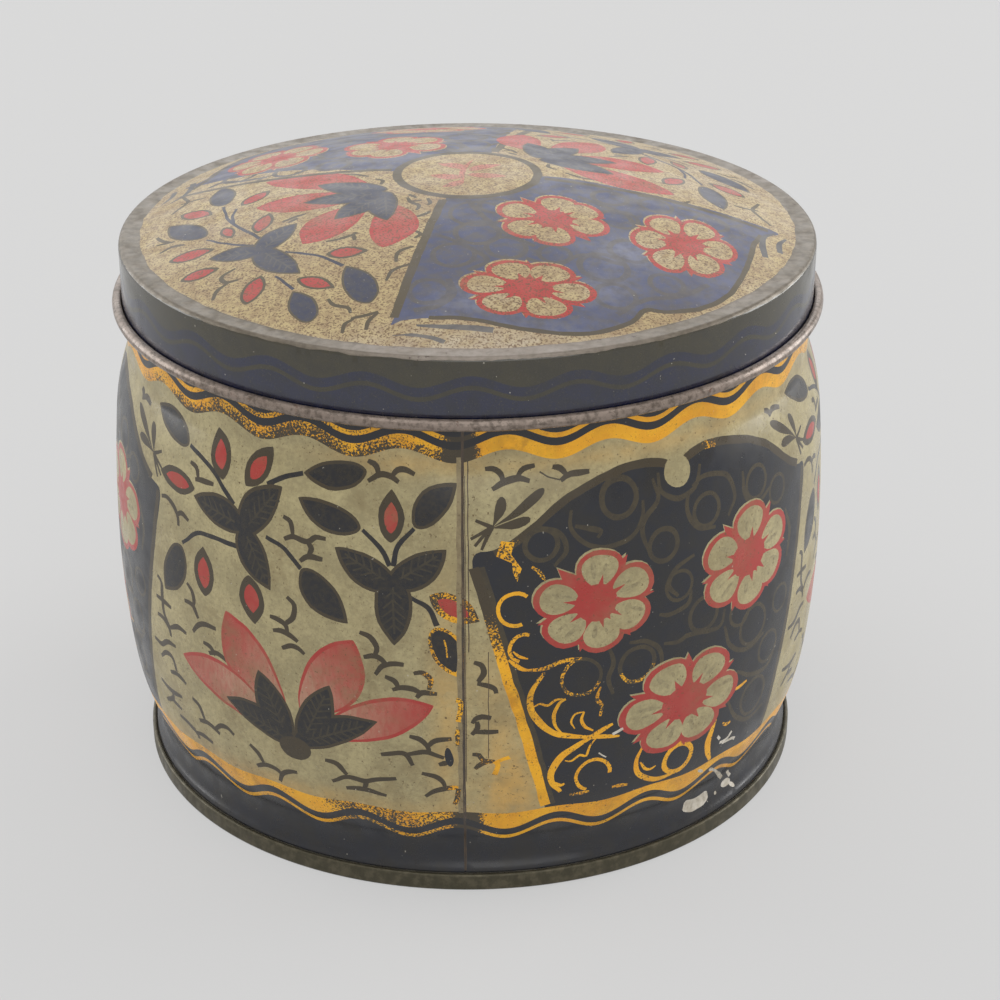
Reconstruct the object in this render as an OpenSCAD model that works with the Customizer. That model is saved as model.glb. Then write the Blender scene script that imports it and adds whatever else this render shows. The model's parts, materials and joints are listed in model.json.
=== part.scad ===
// Round biscuit tin: a barrel-shaped rolled wall, a base seamed into its foot and a slip-on domed lid.
// Millimetres, +Z up. The origin is on the axis, in the plane that the tin stands on, and the front is -Y.
// Every piece is bent tinplate, so each section is a list of straight runs and bends of one sheet.

/* [Wall] */
// Largest outside diameter of the barrel wall
belly_d = 164; // [130:1:220]
// Height of that largest diameter above the resting plane
belly_z = 55; // [48:1:62]
// Height of the wall, from the resting plane to the folded edge of the mouth
body_h = 125; // [115:0.5:140]
// Straight neck that the lid slips over, from the mouth down
neck_h = 23; // [19:0.5:27]
// How far the neck stands in from the belly, on the radius
neck_inset = 4.9; // [4.2:0.1:5.6]
// How far the waist above the foot stands in from the belly, on the radius
waist_inset = 6.8; // [5.8:0.1:7.6]
// Slope of the wall where it turns into the neck, in degrees from upright
neck_slope = 20.5; // [17:0.5:24]
// Slope of the wall where it turns into the waist, in degrees from upright
waist_slope = 24; // [21:0.5:28]
// Depth of the fold that turns the mouth's raw edge inward
hem_depth = 4; // [3:0.5:6]

/* [Foot and base] */
// Height of the double seam that joins the base to the wall
seam_h = 4; // [3:0.1:5]
// Height of the waist above the double seam
waist_rise = 4.5; // [3.5:0.1:6]
// How far the foot flares out below the waist, on the radius
foot_flare = 1.2; // [0.8:0.1:1.6]
// Height of the recessed base panel's underside above the resting plane
panel_rise = 4.2; // [3:0.1:6]
// Width of the flat margin between the panel's recess and its raised middle
panel_margin = 10; // [5:0.5:25]
// Height of that raised middle
panel_step_h = 0.8; // [0.4:0.1:1.2]

/* [Lid] */
// Height of the lid's skirt, from its top corner to the underside of the bead
skirt_h = 15.3; // [12:0.1:18]
// Rise of the dome above the flat ring at its edge
dome_rise = 12.4; // [8:0.1:15]
// Width of the flat ring between the dome and the outside of the skirt
ring_w = 4; // [3:0.1:6]
// Outside diameter of the curled bead at the lower edge
bead_d = 2.5; // [2:0.1:3]
// Radial clearance between the lid's skirt and the neck
lid_clearance = 0.3; // [0.2:0.05:0.5]
// Gap between the mouth and the underside of the lid
seat_gap = 0.3; // [0.2:0.05:0.5]

/* [Sheet and side seam] */
// Thickness of the tinplate
sheet_t = 0.3; // [0.25:0.01:0.35]
// Gap left between folded plies
ply_gap = 0.06; // [0.04:0.01:0.1]
// Width of the lock seam down the wall
lock_w = 4.8; // [3.6:0.1:6]
// Width of the groove that shows outside along the lock seam
groove_w = 0.5; // [0.3:0.05:0.8]
// Depth of that groove
groove_depth = 0.12; // [0.06:0.01:0.16]

/* [Hidden] */
$fn = 180;

// Deepest gap allowed between a bend and the chords that draw it
chord_error = 0.01;
// Shares of each half of the barrel's slope that the belly arc takes up
belly_share = 0.9;
// Share of the foot's S-bend that lies next to the double seam
foot_share = 0.3;
// Bend radii of the sheet, at the middle of its thickness
waist_bend = 12;
neck_bend = 8;
hem_bend = sheet_t;
corner_bend = 1;
dome_foot_bend = 4;
panel_bend = 1.2;
step_bend = 1.5;
rim_bend = 0.5;
// Turn of the lid's curl, short of closing on the skirt
curl_turn = 300;
// Plies of the lock seam that lie inside the wall, and how far they sink into it
lock_plies = 3;
lock_sink = sheet_t / 4;
// Length of wall left smooth above the double seam, and below the mouth's fold
lock_start = 1;
lock_stop = 2;
// Room left at the raw edge of each hook inside the double seam
hook_room = 0.3;

half_t = sheet_t / 2;
ply = sheet_t + ply_gap;
belly_r = belly_d / 2;
neck_r = belly_r - neck_inset;
waist_r = belly_r - waist_inset;
waist_z = seam_h + waist_rise;
neck_z = body_h - neck_h;
skirt_r = neck_r + lid_clearance + sheet_t;
corner_z = body_h + seat_gap + sheet_t;
apex_z = corner_z + dome_rise;
curl_r = (bead_d - sheet_t) / 2;
bead_z = corner_z - skirt_h + bead_d / 2;
// Middle of the wall's sheet inside the double seam
foot_mid = waist_r + foot_flare - half_t;
// Height of the bend centre of the wall's hook, one ply above the base's rim
hook_z = 2 * ply + half_t;

// Slope and joint radius of two equal opposite bends that move a sheet aside by shift along run
function s_slope(shift, run) = 2 * atan(shift / run);
function s_radius(shift, run) = run / sin(s_slope(shift, run));

// Radii of the shoulder and belly arcs that climb h and swell d, from slope a through slope b to upright
function barrel_radii(h, d, a, b) =
    let (
        rise_s = sin(a) - sin(b),
        rise_b = sin(b),
        swell_s = cos(b) - cos(a),
        swell_b = 1 - cos(b),
        det = rise_s * swell_b - rise_b * swell_s
    )
    [(h * swell_b - d * rise_b) / det, (d * rise_s - h * swell_s) / det];

// Points of one move from a point [radius, height, heading]. Heading 0 is up and 90 is outward.
// A move is [length] for a straight run, or [bend radius, new heading] for a bend.
function move_points(from, move) =
    len(move) == 1
        ? [[from[0] + move[0] * sin(from[2]), from[1] + move[0] * cos(from[2]), from[2]]]
        : let (
              turn = move[1] - from[2],
              bend = sign(turn) * move[0],
              chord = 2 * acos(1 - chord_error / move[0]),
              count = max(3, ceil(abs(turn) / chord))
          )
          [
              for (i = [1:count])
                  let (heading = from[2] + turn * i / count)
                  [
                      from[0] + bend * (cos(from[2]) - cos(heading)),
                      from[1] + bend * (sin(heading) - sin(from[2])),
                      heading
                  ]
          ];

function last(list) = list[len(list) - 1];

// Middle line of a bent sheet, from a start point through all its moves
function sheet_path(path, moves, i = 0) =
    i == len(moves) ? path : sheet_path(concat(path, move_points(last(path), moves[i])), moves, i + 1);

// Point at a distance from a middle line, to the right of its heading
function beside(p, distance) = [p[0] + distance * cos(p[2]), p[1] - distance * sin(p[2])];

// Closed section between two such distances
function section(path, low, high) =
    concat(
        [for (p = path) beside(p, high)],
        [for (i = [len(path) - 1:-1:0]) beside(path[i], low)]
    );

module sheet_ring(path) {
    rotate_extrude() polygon(section(path, -half_t, half_t));
}

// Slice of a section round the front of the tin, as wide as stated at the belly
module front_strip(path, width, low, high) {
    strip_angle = 360 * width / (PI * belly_d);
    rotate([0, 0, -90 - strip_angle / 2])
        rotate_extrude(angle = strip_angle)
            polygon(section(path, low, high));
}

foot_slope = s_slope(foot_flare, waist_rise);
foot_radius = s_radius(foot_flare, waist_rise);

low_h = belly_z - waist_z;
low_b = belly_share * atan(waist_inset / low_h);
low_radii = barrel_radii(
    low_h - waist_bend * sin(waist_slope),
    waist_inset - waist_bend * (1 - cos(waist_slope)),
    waist_slope,
    low_b
);
high_h = neck_z - belly_z;
high_b = belly_share * atan(neck_inset / high_h);
high_radii = barrel_radii(
    high_h - neck_bend * sin(neck_slope),
    neck_inset - neck_bend * (1 - cos(neck_slope)),
    neck_slope,
    high_b
);

// The wall's flange, hooked outward and up inside the double seam
hook_path = sheet_path(
    [[foot_mid + 2 * ply, seam_h - ply - hook_room, -180]],
    [[seam_h - ply - hook_room - hook_z], [ply, 0], [seam_h - hook_z]]
);

// The barrel from the double seam up to the part of the neck that the mouth's fold lies behind
barrel_path = sheet_path(
    [last(hook_path)],
    [
        [foot_share * foot_radius, -foot_slope],
        [(1 - foot_share) * foot_radius, 0],
        [waist_bend, waist_slope],
        [low_radii[0], low_b],
        [low_radii[1], 0],
        [high_radii[1], -high_b],
        [high_radii[0], -neck_slope],
        [neck_bend, 0],
        [neck_h - hem_depth - lock_stop]
    ]
);

hem_path = sheet_path(
    [last(barrel_path)],
    [[hem_depth + lock_stop - hem_bend - half_t], [hem_bend, -180], [hem_depth - hem_bend]]
);

// The rest of a list, which leaves out a first point that another path already ends with
function rest(list) = [for (i = [1:len(list) - 1]) list[i]];

wall_path = concat(hook_path, rest(barrel_path), rest(hem_path));

// The lock seam starts clear of the double seam
lock_path = [for (p = barrel_path) if (p[1] > seam_h + lock_start) p];

module body_wall() {
    color([0.23, 0.24, 0.30]) difference() {
        union() {
            sheet_ring(wall_path);
            front_strip(lock_path, lock_w, -half_t - lock_plies * sheet_t, lock_sink - half_t);
        }
        front_strip(lock_path, groove_w, half_t - groove_depth, half_t + sheet_t);
    }
}

step_slope = s_slope(panel_step_h, 2 * step_bend);
step_radius = s_radius(panel_step_h, 2 * step_bend);
chuck_mid = foot_mid - ply;
panel_mid = panel_rise + half_t;
step_r = chuck_mid - panel_bend - panel_margin - 2 * step_bend;

// From the middle of the panel out, down the recess, round the resting rim and into the wall's hook
base_path = sheet_path(
    [[0, panel_mid + panel_step_h, 90]],
    [
        [step_r],
        [step_radius / 2, 90 + step_slope],
        [step_radius / 2, 90],
        [panel_margin],
        [panel_bend, 180],
        [panel_mid - panel_bend - rim_bend - half_t],
        [rim_bend, 90],
        [4 * ply - 2 * rim_bend],
        [rim_bend, 0],
        [seam_h - 2 * half_t - rim_bend - ply],
        [ply, -180],
        [seam_h - half_t - ply - hook_z - hook_room]
    ]
);

module base_disc() {
    color([0.36, 0.33, 0.25]) sheet_ring(base_path);
}

dome_edge_r = skirt_r - ring_w;
dome_slope = s_slope(dome_rise, dome_edge_r);
dome_radius = s_radius(dome_rise, dome_edge_r) - dome_foot_bend;
skirt_mid = skirt_r - half_t;

// From the top of the dome out over the flat ring, down the skirt and round the curl
lid_path = sheet_path(
    [[0, apex_z - half_t, 90]],
    [
        [dome_radius, 90 + dome_slope],
        [dome_foot_bend, 90],
        [skirt_mid - corner_bend - dome_edge_r],
        [corner_bend, 180],
        [corner_z - half_t - corner_bend - bead_z],
        [curl_r, 180 - curl_turn]
    ]
);

module slip_lid() {
    color([0.62, 0.56, 0.42]) sheet_ring(lid_path);
}

body_wall();
base_disc();
slip_lid();
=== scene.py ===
"""Looks of the round printed biscuit tin: wall, seamed base and slip lid, with floor, light and camera.

Lengths are millimetres up to the point where a mesh is made, and metres after it. The front of the tin,
with its side seam, faces -Y. The print is drawn flat as outlines of ink, laid over each other in painter's
order, cut into triangles along every outline and wrapped on the turned sheet.
"""

import json
import logging
import math
from collections.abc import Callable, Iterable, Sequence
from dataclasses import dataclass, field, replace
from enum import Enum

import bpy
import numpy as np
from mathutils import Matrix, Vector, noise
from mathutils.geometry import delaunay_2d_cdt

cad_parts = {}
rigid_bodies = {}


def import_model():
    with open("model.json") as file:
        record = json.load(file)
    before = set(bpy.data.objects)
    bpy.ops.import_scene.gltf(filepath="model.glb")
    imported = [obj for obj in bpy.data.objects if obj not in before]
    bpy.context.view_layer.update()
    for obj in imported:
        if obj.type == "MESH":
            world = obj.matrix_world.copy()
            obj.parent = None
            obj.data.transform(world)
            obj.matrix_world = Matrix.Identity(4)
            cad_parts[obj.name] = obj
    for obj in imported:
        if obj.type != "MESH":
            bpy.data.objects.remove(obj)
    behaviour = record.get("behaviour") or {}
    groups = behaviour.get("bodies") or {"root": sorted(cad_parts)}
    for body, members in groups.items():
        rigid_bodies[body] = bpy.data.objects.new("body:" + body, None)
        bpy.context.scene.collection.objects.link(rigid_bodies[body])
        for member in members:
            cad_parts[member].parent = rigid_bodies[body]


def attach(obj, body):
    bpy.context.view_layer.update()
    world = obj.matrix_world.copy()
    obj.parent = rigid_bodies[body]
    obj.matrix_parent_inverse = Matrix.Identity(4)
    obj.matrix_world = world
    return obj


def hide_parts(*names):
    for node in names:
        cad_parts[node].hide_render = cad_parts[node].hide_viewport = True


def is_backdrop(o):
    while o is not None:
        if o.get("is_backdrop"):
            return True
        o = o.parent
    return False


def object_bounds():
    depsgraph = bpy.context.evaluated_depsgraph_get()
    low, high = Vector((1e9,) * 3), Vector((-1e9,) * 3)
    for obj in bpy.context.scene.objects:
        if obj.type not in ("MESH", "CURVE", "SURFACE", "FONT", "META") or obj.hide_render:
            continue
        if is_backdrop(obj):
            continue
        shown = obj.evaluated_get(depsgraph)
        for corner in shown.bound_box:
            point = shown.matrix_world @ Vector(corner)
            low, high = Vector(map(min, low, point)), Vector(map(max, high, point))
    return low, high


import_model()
CAD_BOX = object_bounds()

LOG = logging.getLogger("biscuit_tin")
MM = 0.001
FULL_TURN = 2 * math.pi
BAKE_MAP = "OFBake"
HAND_SEED = 7

Point = tuple[float, float]
Triple = tuple[float, float, float]
Rgba = tuple[float, float, float, float]
Box = tuple[float, float, float, float]
PlaceValue = Callable[[float, float], float]
Glow = float | PlaceValue
Width = float | Callable[[float], float]
Socket = bpy.types.NodeSocket
Material = bpy.types.Material
Given = dict[str | int, object]
Value = Socket | float
Paint = Socket | Rgba


class Ink(Enum):
    """What lies on top at a place of the print. The value is the finish's name."""

    CREAM = "cream_ground"
    NAVY = "navy_ground"
    LEAF = "leaf_blue"
    RED = "red_ink"
    GILT = "gilt_ink"
    DULL = "dulled_scroll"
    VEIN = "leaf_vein"
    SMUDGE = "smudge"
    SKIRT = "skirt_ground"
    LINE = "seam_line"
    RUST = "seam_rust"
    CHIP = "chipped_spot"
    TIN = "worn_tin"
    PLATE = "plain_tinplate"


# Inks that take the stain value: real stain on the wall's cream, painted sheen on the lid
STAIN_AND_SHEEN_INKS = (Ink.CREAM, Ink.NAVY, Ink.TIN, Ink.DULL, Ink.VEIN)


def srgb(red: int, green: int, blue: int) -> Rgba:
    """Turns a colour as displayed, 0 to 255, into a linear node colour with full alpha."""
    parts = (value / 255 for value in (red, green, blue))
    return (*(part / 12.92 if part <= 0.04045 else ((part + 0.055) / 1.055) ** 2.4 for part in parts), 1.0)


def turned(points: Sequence, degrees: float) -> np.ndarray:
    """Turns points on a flat sheet about its origin, counter-clockwise."""
    c, s = math.cos(math.radians(degrees)), math.sin(math.radians(degrees))
    return np.asarray(points, dtype=float) @ np.array([[c, s], [-s, c]])


def circle(radius: float, count: int) -> np.ndarray:
    """Corners of a circle round a flat sheet's origin."""
    turns = FULL_TURN * np.arange(count) / count
    return radius * np.column_stack([np.cos(turns), np.sin(turns)])


def strip(across: np.ndarray, low: np.ndarray | float, high: np.ndarray | float) -> np.ndarray:
    """Outline of a strip of the sheet between a lower and an upper edge."""
    lower, upper = (np.column_stack([across, np.zeros_like(across) + edge]) for edge in (low, high))
    return np.vstack([lower, upper[::-1]])


def s_bend(shift: float, run: float) -> Point:
    """Slope in degrees, and sum of the radii, of two opposite bends that move a sheet aside along a run."""
    slope = 2 * math.atan(shift / run)
    return (math.degrees(slope), run / math.sin(slope))


class SheetPath:
    """Middle line of one bent sheet, as radius and height. Heading 0 is up and 90 degrees is outward."""

    CHORD_ERROR = 0.004
    FEWEST_CHORDS = 4

    def __init__(self, radius: float, height: float, heading: float) -> None:
        """Starts the line at a point, with its first heading in degrees."""
        self.points: list[Triple] = [(radius, height, math.radians(heading))]

    def run(self, length: float, pieces: int = 1) -> "SheetPath":
        """Adds a straight run.

        Args:
            length: Its length.
            pieces: Equal steps that it is cut into.

        Returns:
            The line itself, for the next move.
        """
        radius, height, heading = self.points[-1]
        for part in (length * i / pieces for i in range(1, pieces + 1)):
            out, up = part * math.sin(heading), part * math.cos(heading)
            self.points.append((radius + out, height + up, heading))
        return self

    def bend(self, bend_radius: float, heading: float) -> "SheetPath":
        """Adds a bend.

        Args:
            bend_radius: Its radius.
            heading: Direction after it, in degrees.

        Returns:
            The line itself, for the next move.
        """
        radius, height, start = self.points[-1]
        turn = math.radians(heading) - start
        signed = math.copysign(bend_radius, turn)
        chord = 2 * math.acos(1 - min(self.CHORD_ERROR / bend_radius, 1.0))
        count = max(self.FEWEST_CHORDS, math.ceil(abs(turn) / chord))
        for now in (start + turn * i / count for i in range(1, count + 1)):
            out = radius + signed * (math.cos(start) - math.cos(now))
            self.points.append((out, height + signed * (math.sin(now) - math.sin(start)), now))
        return self

    def beside(self, distance: float) -> list[Point]:
        """Radius and height of the line's points, moved so far to the right of its heading."""
        return [(r + distance * math.cos(a), z - distance * math.sin(a)) for r, z, a in self.points]

    def headings(self) -> np.ndarray:
        """Heading at each of its points, in radians."""
        return np.array([point[2] for point in self.points])


@dataclass(frozen=True)
class TinSizes:
    """Sizes of the tin, the same as in the part's source."""

    belly_r: float = 82.0
    belly_z: float = 55.0
    body_h: float = 125.0
    neck_h: float = 23.0
    neck_inset: float = 4.9
    waist_inset: float = 6.8
    neck_slope: float = 20.5
    waist_slope: float = 24.0
    hem_depth: float = 4.0
    seam_h: float = 4.0
    waist_rise: float = 4.5
    foot_flare: float = 1.2
    panel_rise: float = 4.2
    panel_margin: float = 10.0
    panel_step: float = 0.8
    skirt_h: float = 15.3
    dome_rise: float = 12.4
    ring_w: float = 4.0
    bead_d: float = 2.5
    lid_clearance: float = 0.3
    seat_gap: float = 0.3
    sheet: float = 0.3
    ply_gap: float = 0.06
    lock_w: float = 4.8
    groove_w: float = 0.5
    groove_depth: float = 0.12
    belly_share: float = 0.9
    foot_share: float = 0.3
    waist_bend: float = 12.0
    neck_bend: float = 8.0
    corner_bend: float = 1.0
    dome_foot_bend: float = 4.0
    panel_bend: float = 1.2
    step_bend: float = 1.5
    rim_bend: float = 0.5
    curl_turn: float = 300.0
    hook_room: float = 0.3
    lock_start: float = 1.0
    lock_stop: float = 2.0

    @property
    def half(self) -> float:
        """Half the sheet's thickness."""
        return self.sheet / 2

    @property
    def ply(self) -> float:
        """Step from one folded ply to the next."""
        return self.sheet + self.ply_gap

    @property
    def hook_z(self) -> float:
        """Height of the bend of the wall's hook."""
        return 2 * self.ply + self.half

    @property
    def foot_mid(self) -> float:
        """Radius of the middle of the wall's sheet inside the double seam."""
        return self.belly_r - self.waist_inset + self.foot_flare - self.half

    @property
    def skirt_r(self) -> float:
        """Outside radius of the lid's skirt."""
        return self.belly_r - self.neck_inset + self.lid_clearance + self.sheet

    @property
    def corner_z(self) -> float:
        """Height of the lid's flat ring."""
        return self.body_h + self.seat_gap + self.sheet

    @property
    def bead_z(self) -> float:
        """Height of the middle of the lid's bead."""
        return self.corner_z - self.skirt_h + self.bead_d / 2

    @property
    def mouth_start(self) -> float:
        """Height at which the mouth's fold begins."""
        return self.body_h - self.sheet - self.half

    @property
    def turn_length(self) -> float:
        """Length once round the belly."""
        return FULL_TURN * self.belly_r

    def half_barrel(self, climb: float, swell: float, bend: float, steep: float) -> Triple:
        """Arcs of half a barrel.

        Args:
            climb: Height from the end bend to the belly.
            swell: How far the belly stands out.
            bend: Radius of the end bend.
            steep: Slope after that bend, in degrees.

        Returns:
            Radius of the shoulder, radius of the belly, and the slope where they meet, in degrees.
        """
        shallow = self.belly_share * math.degrees(math.atan(swell / climb))
        sa, ca = math.sin(math.radians(steep)), math.cos(math.radians(steep))
        sb, cb = math.sin(math.radians(shallow)), math.cos(math.radians(shallow))
        up, out = climb - bend * sa, swell - bend * (1 - ca)
        det = (sa - sb) * (1 - cb) - sb * (cb - ca)
        return ((up * (1 - cb) - out * sb) / det, (out * (sa - sb) - up * (cb - ca)) / det, shallow)

    def wall_hook(self) -> SheetPath:
        """The wall's flange, hooked outward and up inside the double seam, as far as the seam's top.

        Returns:
            Its middle line.
        """
        top = self.seam_h - self.ply - self.hook_room
        path = SheetPath(self.foot_mid + 2 * self.ply, top, -180)
        return path.run(top - self.hook_z).bend(self.ply, 0).run(self.seam_h - self.hook_z)

    def barrel(self) -> SheetPath:
        """The wall's middle line, from the double seam's top up to the mouth's fold.

        Returns:
            The line.
        """
        slope, foot_r = s_bend(self.foot_flare, self.waist_rise)
        low_h = self.belly_z - self.seam_h - self.waist_rise
        high_h = self.body_h - self.neck_h - self.belly_z
        low = self.half_barrel(low_h, self.waist_inset, self.waist_bend, self.waist_slope)
        high = self.half_barrel(high_h, self.neck_inset, self.neck_bend, self.neck_slope)
        path = SheetPath(self.foot_mid, self.seam_h, 0)
        path.bend(self.foot_share * foot_r, -slope).bend((1 - self.foot_share) * foot_r, 0)
        path.bend(self.waist_bend, self.waist_slope).bend(low[0], low[2]).bend(low[1], 0)
        path.bend(high[1], -high[2]).bend(high[0], -self.neck_slope).bend(self.neck_bend, 0)
        return path.run(self.mouth_start - path.points[-1][1], 6)

    def hem(self) -> SheetPath:
        """The mouth's fold, from its start over the edge and down inside."""
        path = SheetPath(self.belly_r - self.neck_inset - self.half, self.mouth_start, 0)
        return path.bend(self.sheet, -180).run(self.hem_depth - self.sheet)

    def dome(self) -> SheetPath:
        """The lid's middle line from its apex to the outer end of the flat ring.

        Returns:
            The line.
        """
        edge = self.skirt_r - self.ring_w
        slope, both_r = s_bend(self.dome_rise, edge)
        path = SheetPath(0, self.corner_z + self.dome_rise - self.half, 90)
        path.bend(both_r - self.dome_foot_bend, 90 + slope).bend(self.dome_foot_bend, 90)
        return path.run(self.skirt_r - self.half - self.corner_bend - edge)

    def skirt(self) -> SheetPath:
        """The lid's middle line from the flat ring round the corner and down to the curl.

        Returns:
            The line.
        """
        start = self.skirt_r - self.half - self.corner_bend
        path = SheetPath(start, self.corner_z - self.half, 90).bend(self.corner_bend, 180)
        return path.run(path.points[-1][1] - self.bead_z, 6)

    def curl(self) -> SheetPath:
        """The lid's curl, from the skirt's end outward and round."""
        path = SheetPath(self.skirt_r - self.half, self.bead_z, 180)
        return path.bend((self.bead_d - self.sheet) / 2, 180 - self.curl_turn)

    def base(self) -> SheetPath:
        """The base's middle line, from the middle of the panel to the raw edge inside the wall's hook.

        Returns:
            The line.
        """
        slope, step_r = s_bend(self.panel_step, 2 * self.step_bend)
        panel = self.panel_rise + self.half
        inner = self.foot_mid - self.ply - self.panel_bend - self.panel_margin - 2 * self.step_bend
        path = SheetPath(0, panel + self.panel_step, 90).run(inner, 12)
        path.bend(step_r / 2, 90 + slope).bend(step_r / 2, 90).run(self.panel_margin, 2)
        path.bend(self.panel_bend, 180).run(panel - self.panel_bend - self.rim_bend - self.half)
        path.bend(self.rim_bend, 90).run(4 * self.ply - 2 * self.rim_bend).bend(self.rim_bend, 0)
        path.run(self.seam_h - self.sheet - self.rim_bend - self.ply, 3).bend(self.ply, -180)
        return path.run(self.seam_h - self.half - self.ply - self.hook_z - self.hook_room)


TIN = TinSizes()


@dataclass
class Patch:
    """One outline of ink.

    Attributes:
        outline: Corners, counter-clockwise.
        ink: What it is printed with.
        gilt: How bright its gilding is, from 0 for worn to brown to 1 for fresh, or that by place.
        fade: Two points between which its colour goes from 0 to 1, or None.
    """

    outline: np.ndarray
    ink: Ink
    gilt: Glow = 0.0
    fade: np.ndarray | None = None


def smooth_line(points: Sequence[Point], step: float = 0.7) -> np.ndarray:
    """Draws an even curve through points.

    Args:
        points: Points that it passes through.
        step: Distance between the points of the result.

    Returns:
        Points along the curve.
    """
    given = np.asarray(points, dtype=float)
    if len(given) == 2:
        count = max(2, math.ceil(np.linalg.norm(given[1] - given[0]) / (3 * step)) + 1)
        return np.linspace(given[0], given[1], count)
    padded = np.vstack([2 * given[0] - given[1], given, 2 * given[-1] - given[-2]])
    out = []
    for i in range(1, len(padded) - 2):
        p0, p1, p2, p3 = padded[i - 1 : i + 3]
        count = max(2, math.ceil(np.linalg.norm(p2 - p1) / step))
        for t in np.arange(count) / count:
            a = 2 * p1 + (p2 - p0) * t
            b = (2 * p0 - 5 * p1 + 4 * p2 - p3) * t**2
            c = (3 * p1 - p0 - 3 * p2 + p3) * t**3
            out.append(0.5 * (a + b + c))
    return np.array([*out, given[-1]])


@dataclass
class Pen:
    """Draws ink outlines on a flat sheet, moved and turned as the pen is set.

    Attributes:
        patches: Where the outlines go, in painter's order.
        shift: Move of what is drawn.
        turn: Turn of what is drawn about the sheet's origin, in degrees.
        wobble: Depth of the hand-made unevenness of each outline.
    """

    patches: list[Patch] = field(default_factory=list)
    shift: Point = (0.0, 0.0)
    turn: float = 0.0
    wobble: float = 0.22

    UNEVEN_RATE = 0.31
    UNEVEN_LAYER = 7.0

    def place(self, points: Sequence) -> np.ndarray:
        """Moves points from the motif's own place to the sheet."""
        return turned(points, self.turn) + np.asarray(self.shift)

    def uneven(self, x: float, y: float) -> Point:
        """How far the hand strays at a point of the sheet, for a wobble of 1."""
        stray = noise.noise_vector(Vector((x * self.UNEVEN_RATE, y * self.UNEVEN_RATE, self.UNEVEN_LAYER)))
        return (stray.x, stray.y)

    def fill(
        self,
        outline: Iterable[Sequence[float]],
        ink: Ink,
        gilt: Glow = 0.0,
        fade: Sequence | None = None,
        steady: bool = False,
    ) -> None:
        """Fills one outline.

        Args:
            outline: Corners in any direction.
            ink: Ink to fill it with.
            gilt: Brightness of gilding.
            fade: Points where the colour starts and ends to change.
            steady: True leaves the outline without unevenness.
        """
        points = self.place(list(outline))
        if not steady and self.wobble > 0:
            points = points + self.wobble * np.array([self.uneven(x, y) for x, y in points])
        after = np.roll(points, -1, axis=0)
        if np.sum(points[:, 0] * after[:, 1] - after[:, 0] * points[:, 1]) < 0:
            points = points[::-1]
        self.patches.append(Patch(points, ink, gilt, None if fade is None else self.place(fade)))

    def stroke(
        self, points: Sequence[Point], width: Width, ink: Ink = Ink.GILT, gilt: Glow = 0.0, step: float = 0.7
    ) -> None:
        """Draws a line of some width, as a chain of short pieces.

        Args:
            points: Points that the line passes through.
            width: Its width, or the width at a share of its length.
            ink: Ink to draw with.
            gilt: Brightness of gilding.
            step: Length of each piece.
        """
        line = smooth_line(points, step)
        along = np.gradient(line, axis=0)
        along /= np.maximum(np.linalg.norm(along, axis=1), 1e-9)[:, None]
        side = np.column_stack([-along[:, 1], along[:, 0]])
        shares = np.linspace(0, 1, len(line))
        widths = np.array([width(t) if callable(width) else width for t in shares])
        left, right = (line + way * side * widths[:, None] / 2 for way in (1, -1))
        for i in range(len(line) - 1):
            corners = np.array([left[i], right[i], right[i + 1], left[i + 1]])
            rays = corners - corners.mean(axis=0)
            self.fill(corners[np.argsort(np.arctan2(rays[:, 1], rays[:, 0]))], ink, gilt)

    def ring(
        self,
        centre: Point,
        radius: float,
        width: float,
        gilt: Glow = 0.0,
        arc: Point = (0, 360),
        ink: Ink = Ink.GILT,
    ) -> None:
        """Draws a ring or a part of one.

        Args:
            centre: Middle of the ring.
            radius: Radius of the line's middle.
            width: Width of the line.
            gilt: Brightness of gilding.
            arc: First and last angle, in degrees.
            ink: Ink to draw with.
        """
        count = max(8, math.ceil(radius * math.radians(abs(arc[1] - arc[0]))))
        turns = np.radians(np.linspace(arc[0], arc[1], count + 1))
        spokes = np.column_stack([np.cos(turns), np.sin(turns)])
        inner, outer = (np.asarray(centre) + spokes * (radius + way * width / 2) for way in (-1, 1))
        for i in range(count):
            self.fill([inner[i], outer[i], outer[i + 1], inner[i + 1]], ink, gilt)

    def blob(
        self, centre: Point, size: Point, ink: Ink, turn: float = 0.0, gilt: Glow = 0.0, count: int = 20
    ) -> None:
        """Fills an ellipse.

        Args:
            centre: Middle of the ellipse.
            size: Its length and width.
            ink: Ink to fill it with.
            turn: Turn of its length, in degrees.
            gilt: Brightness of gilding.
            count: Corners of its outline.
        """
        oval = circle(0.5, count) * np.asarray(size)
        self.fill(turned(oval, turn) + np.asarray(centre), ink, gilt)


BLADE_LEAST = 0.05


def blade(
    base: Point, tip: Point, width: float, bow: float = 0.0, full: float = 0.46, ends: Point = (0.66, 0.92)
) -> np.ndarray:
    """Outline of a leaf or petal.

    Args:
        base: Its lower end.
        tip: Its point.
        width: Largest width.
        bow: Sideways bend of its middle, to the left of base to tip.
        full: Share of the length at which it is widest.
        ends: Power of its swell towards the base and the tip, smaller for a blunter end.

    Returns:
        Corners of the outline.
    """
    start, end = np.asarray(base, dtype=float), np.asarray(tip, dtype=float)
    length = float(np.linalg.norm(end - start))
    ahead = (end - start) / length
    side = np.array([-ahead[1], ahead[0]])
    count = max(8, math.ceil(length / 1.1))
    skew = math.log(0.5) / math.log(full)
    shares = (1 - np.cos(np.linspace(0, math.pi, count + 1))) / 2
    mid = start + np.outer(shares, end - start) + np.outer(4 * bow * shares * (1 - shares), side)
    skewed = shares**skew
    power = np.where(skewed < 0.5, ends[0], ends[1])
    half = np.maximum(width / 2 * (4 * skewed * (1 - skewed)) ** power, BLADE_LEAST)
    left, right = (mid + way * half[:, None] * side for way in (1, -1))
    return np.vstack([right[:-1], left[::-1][:-1]])


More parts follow.
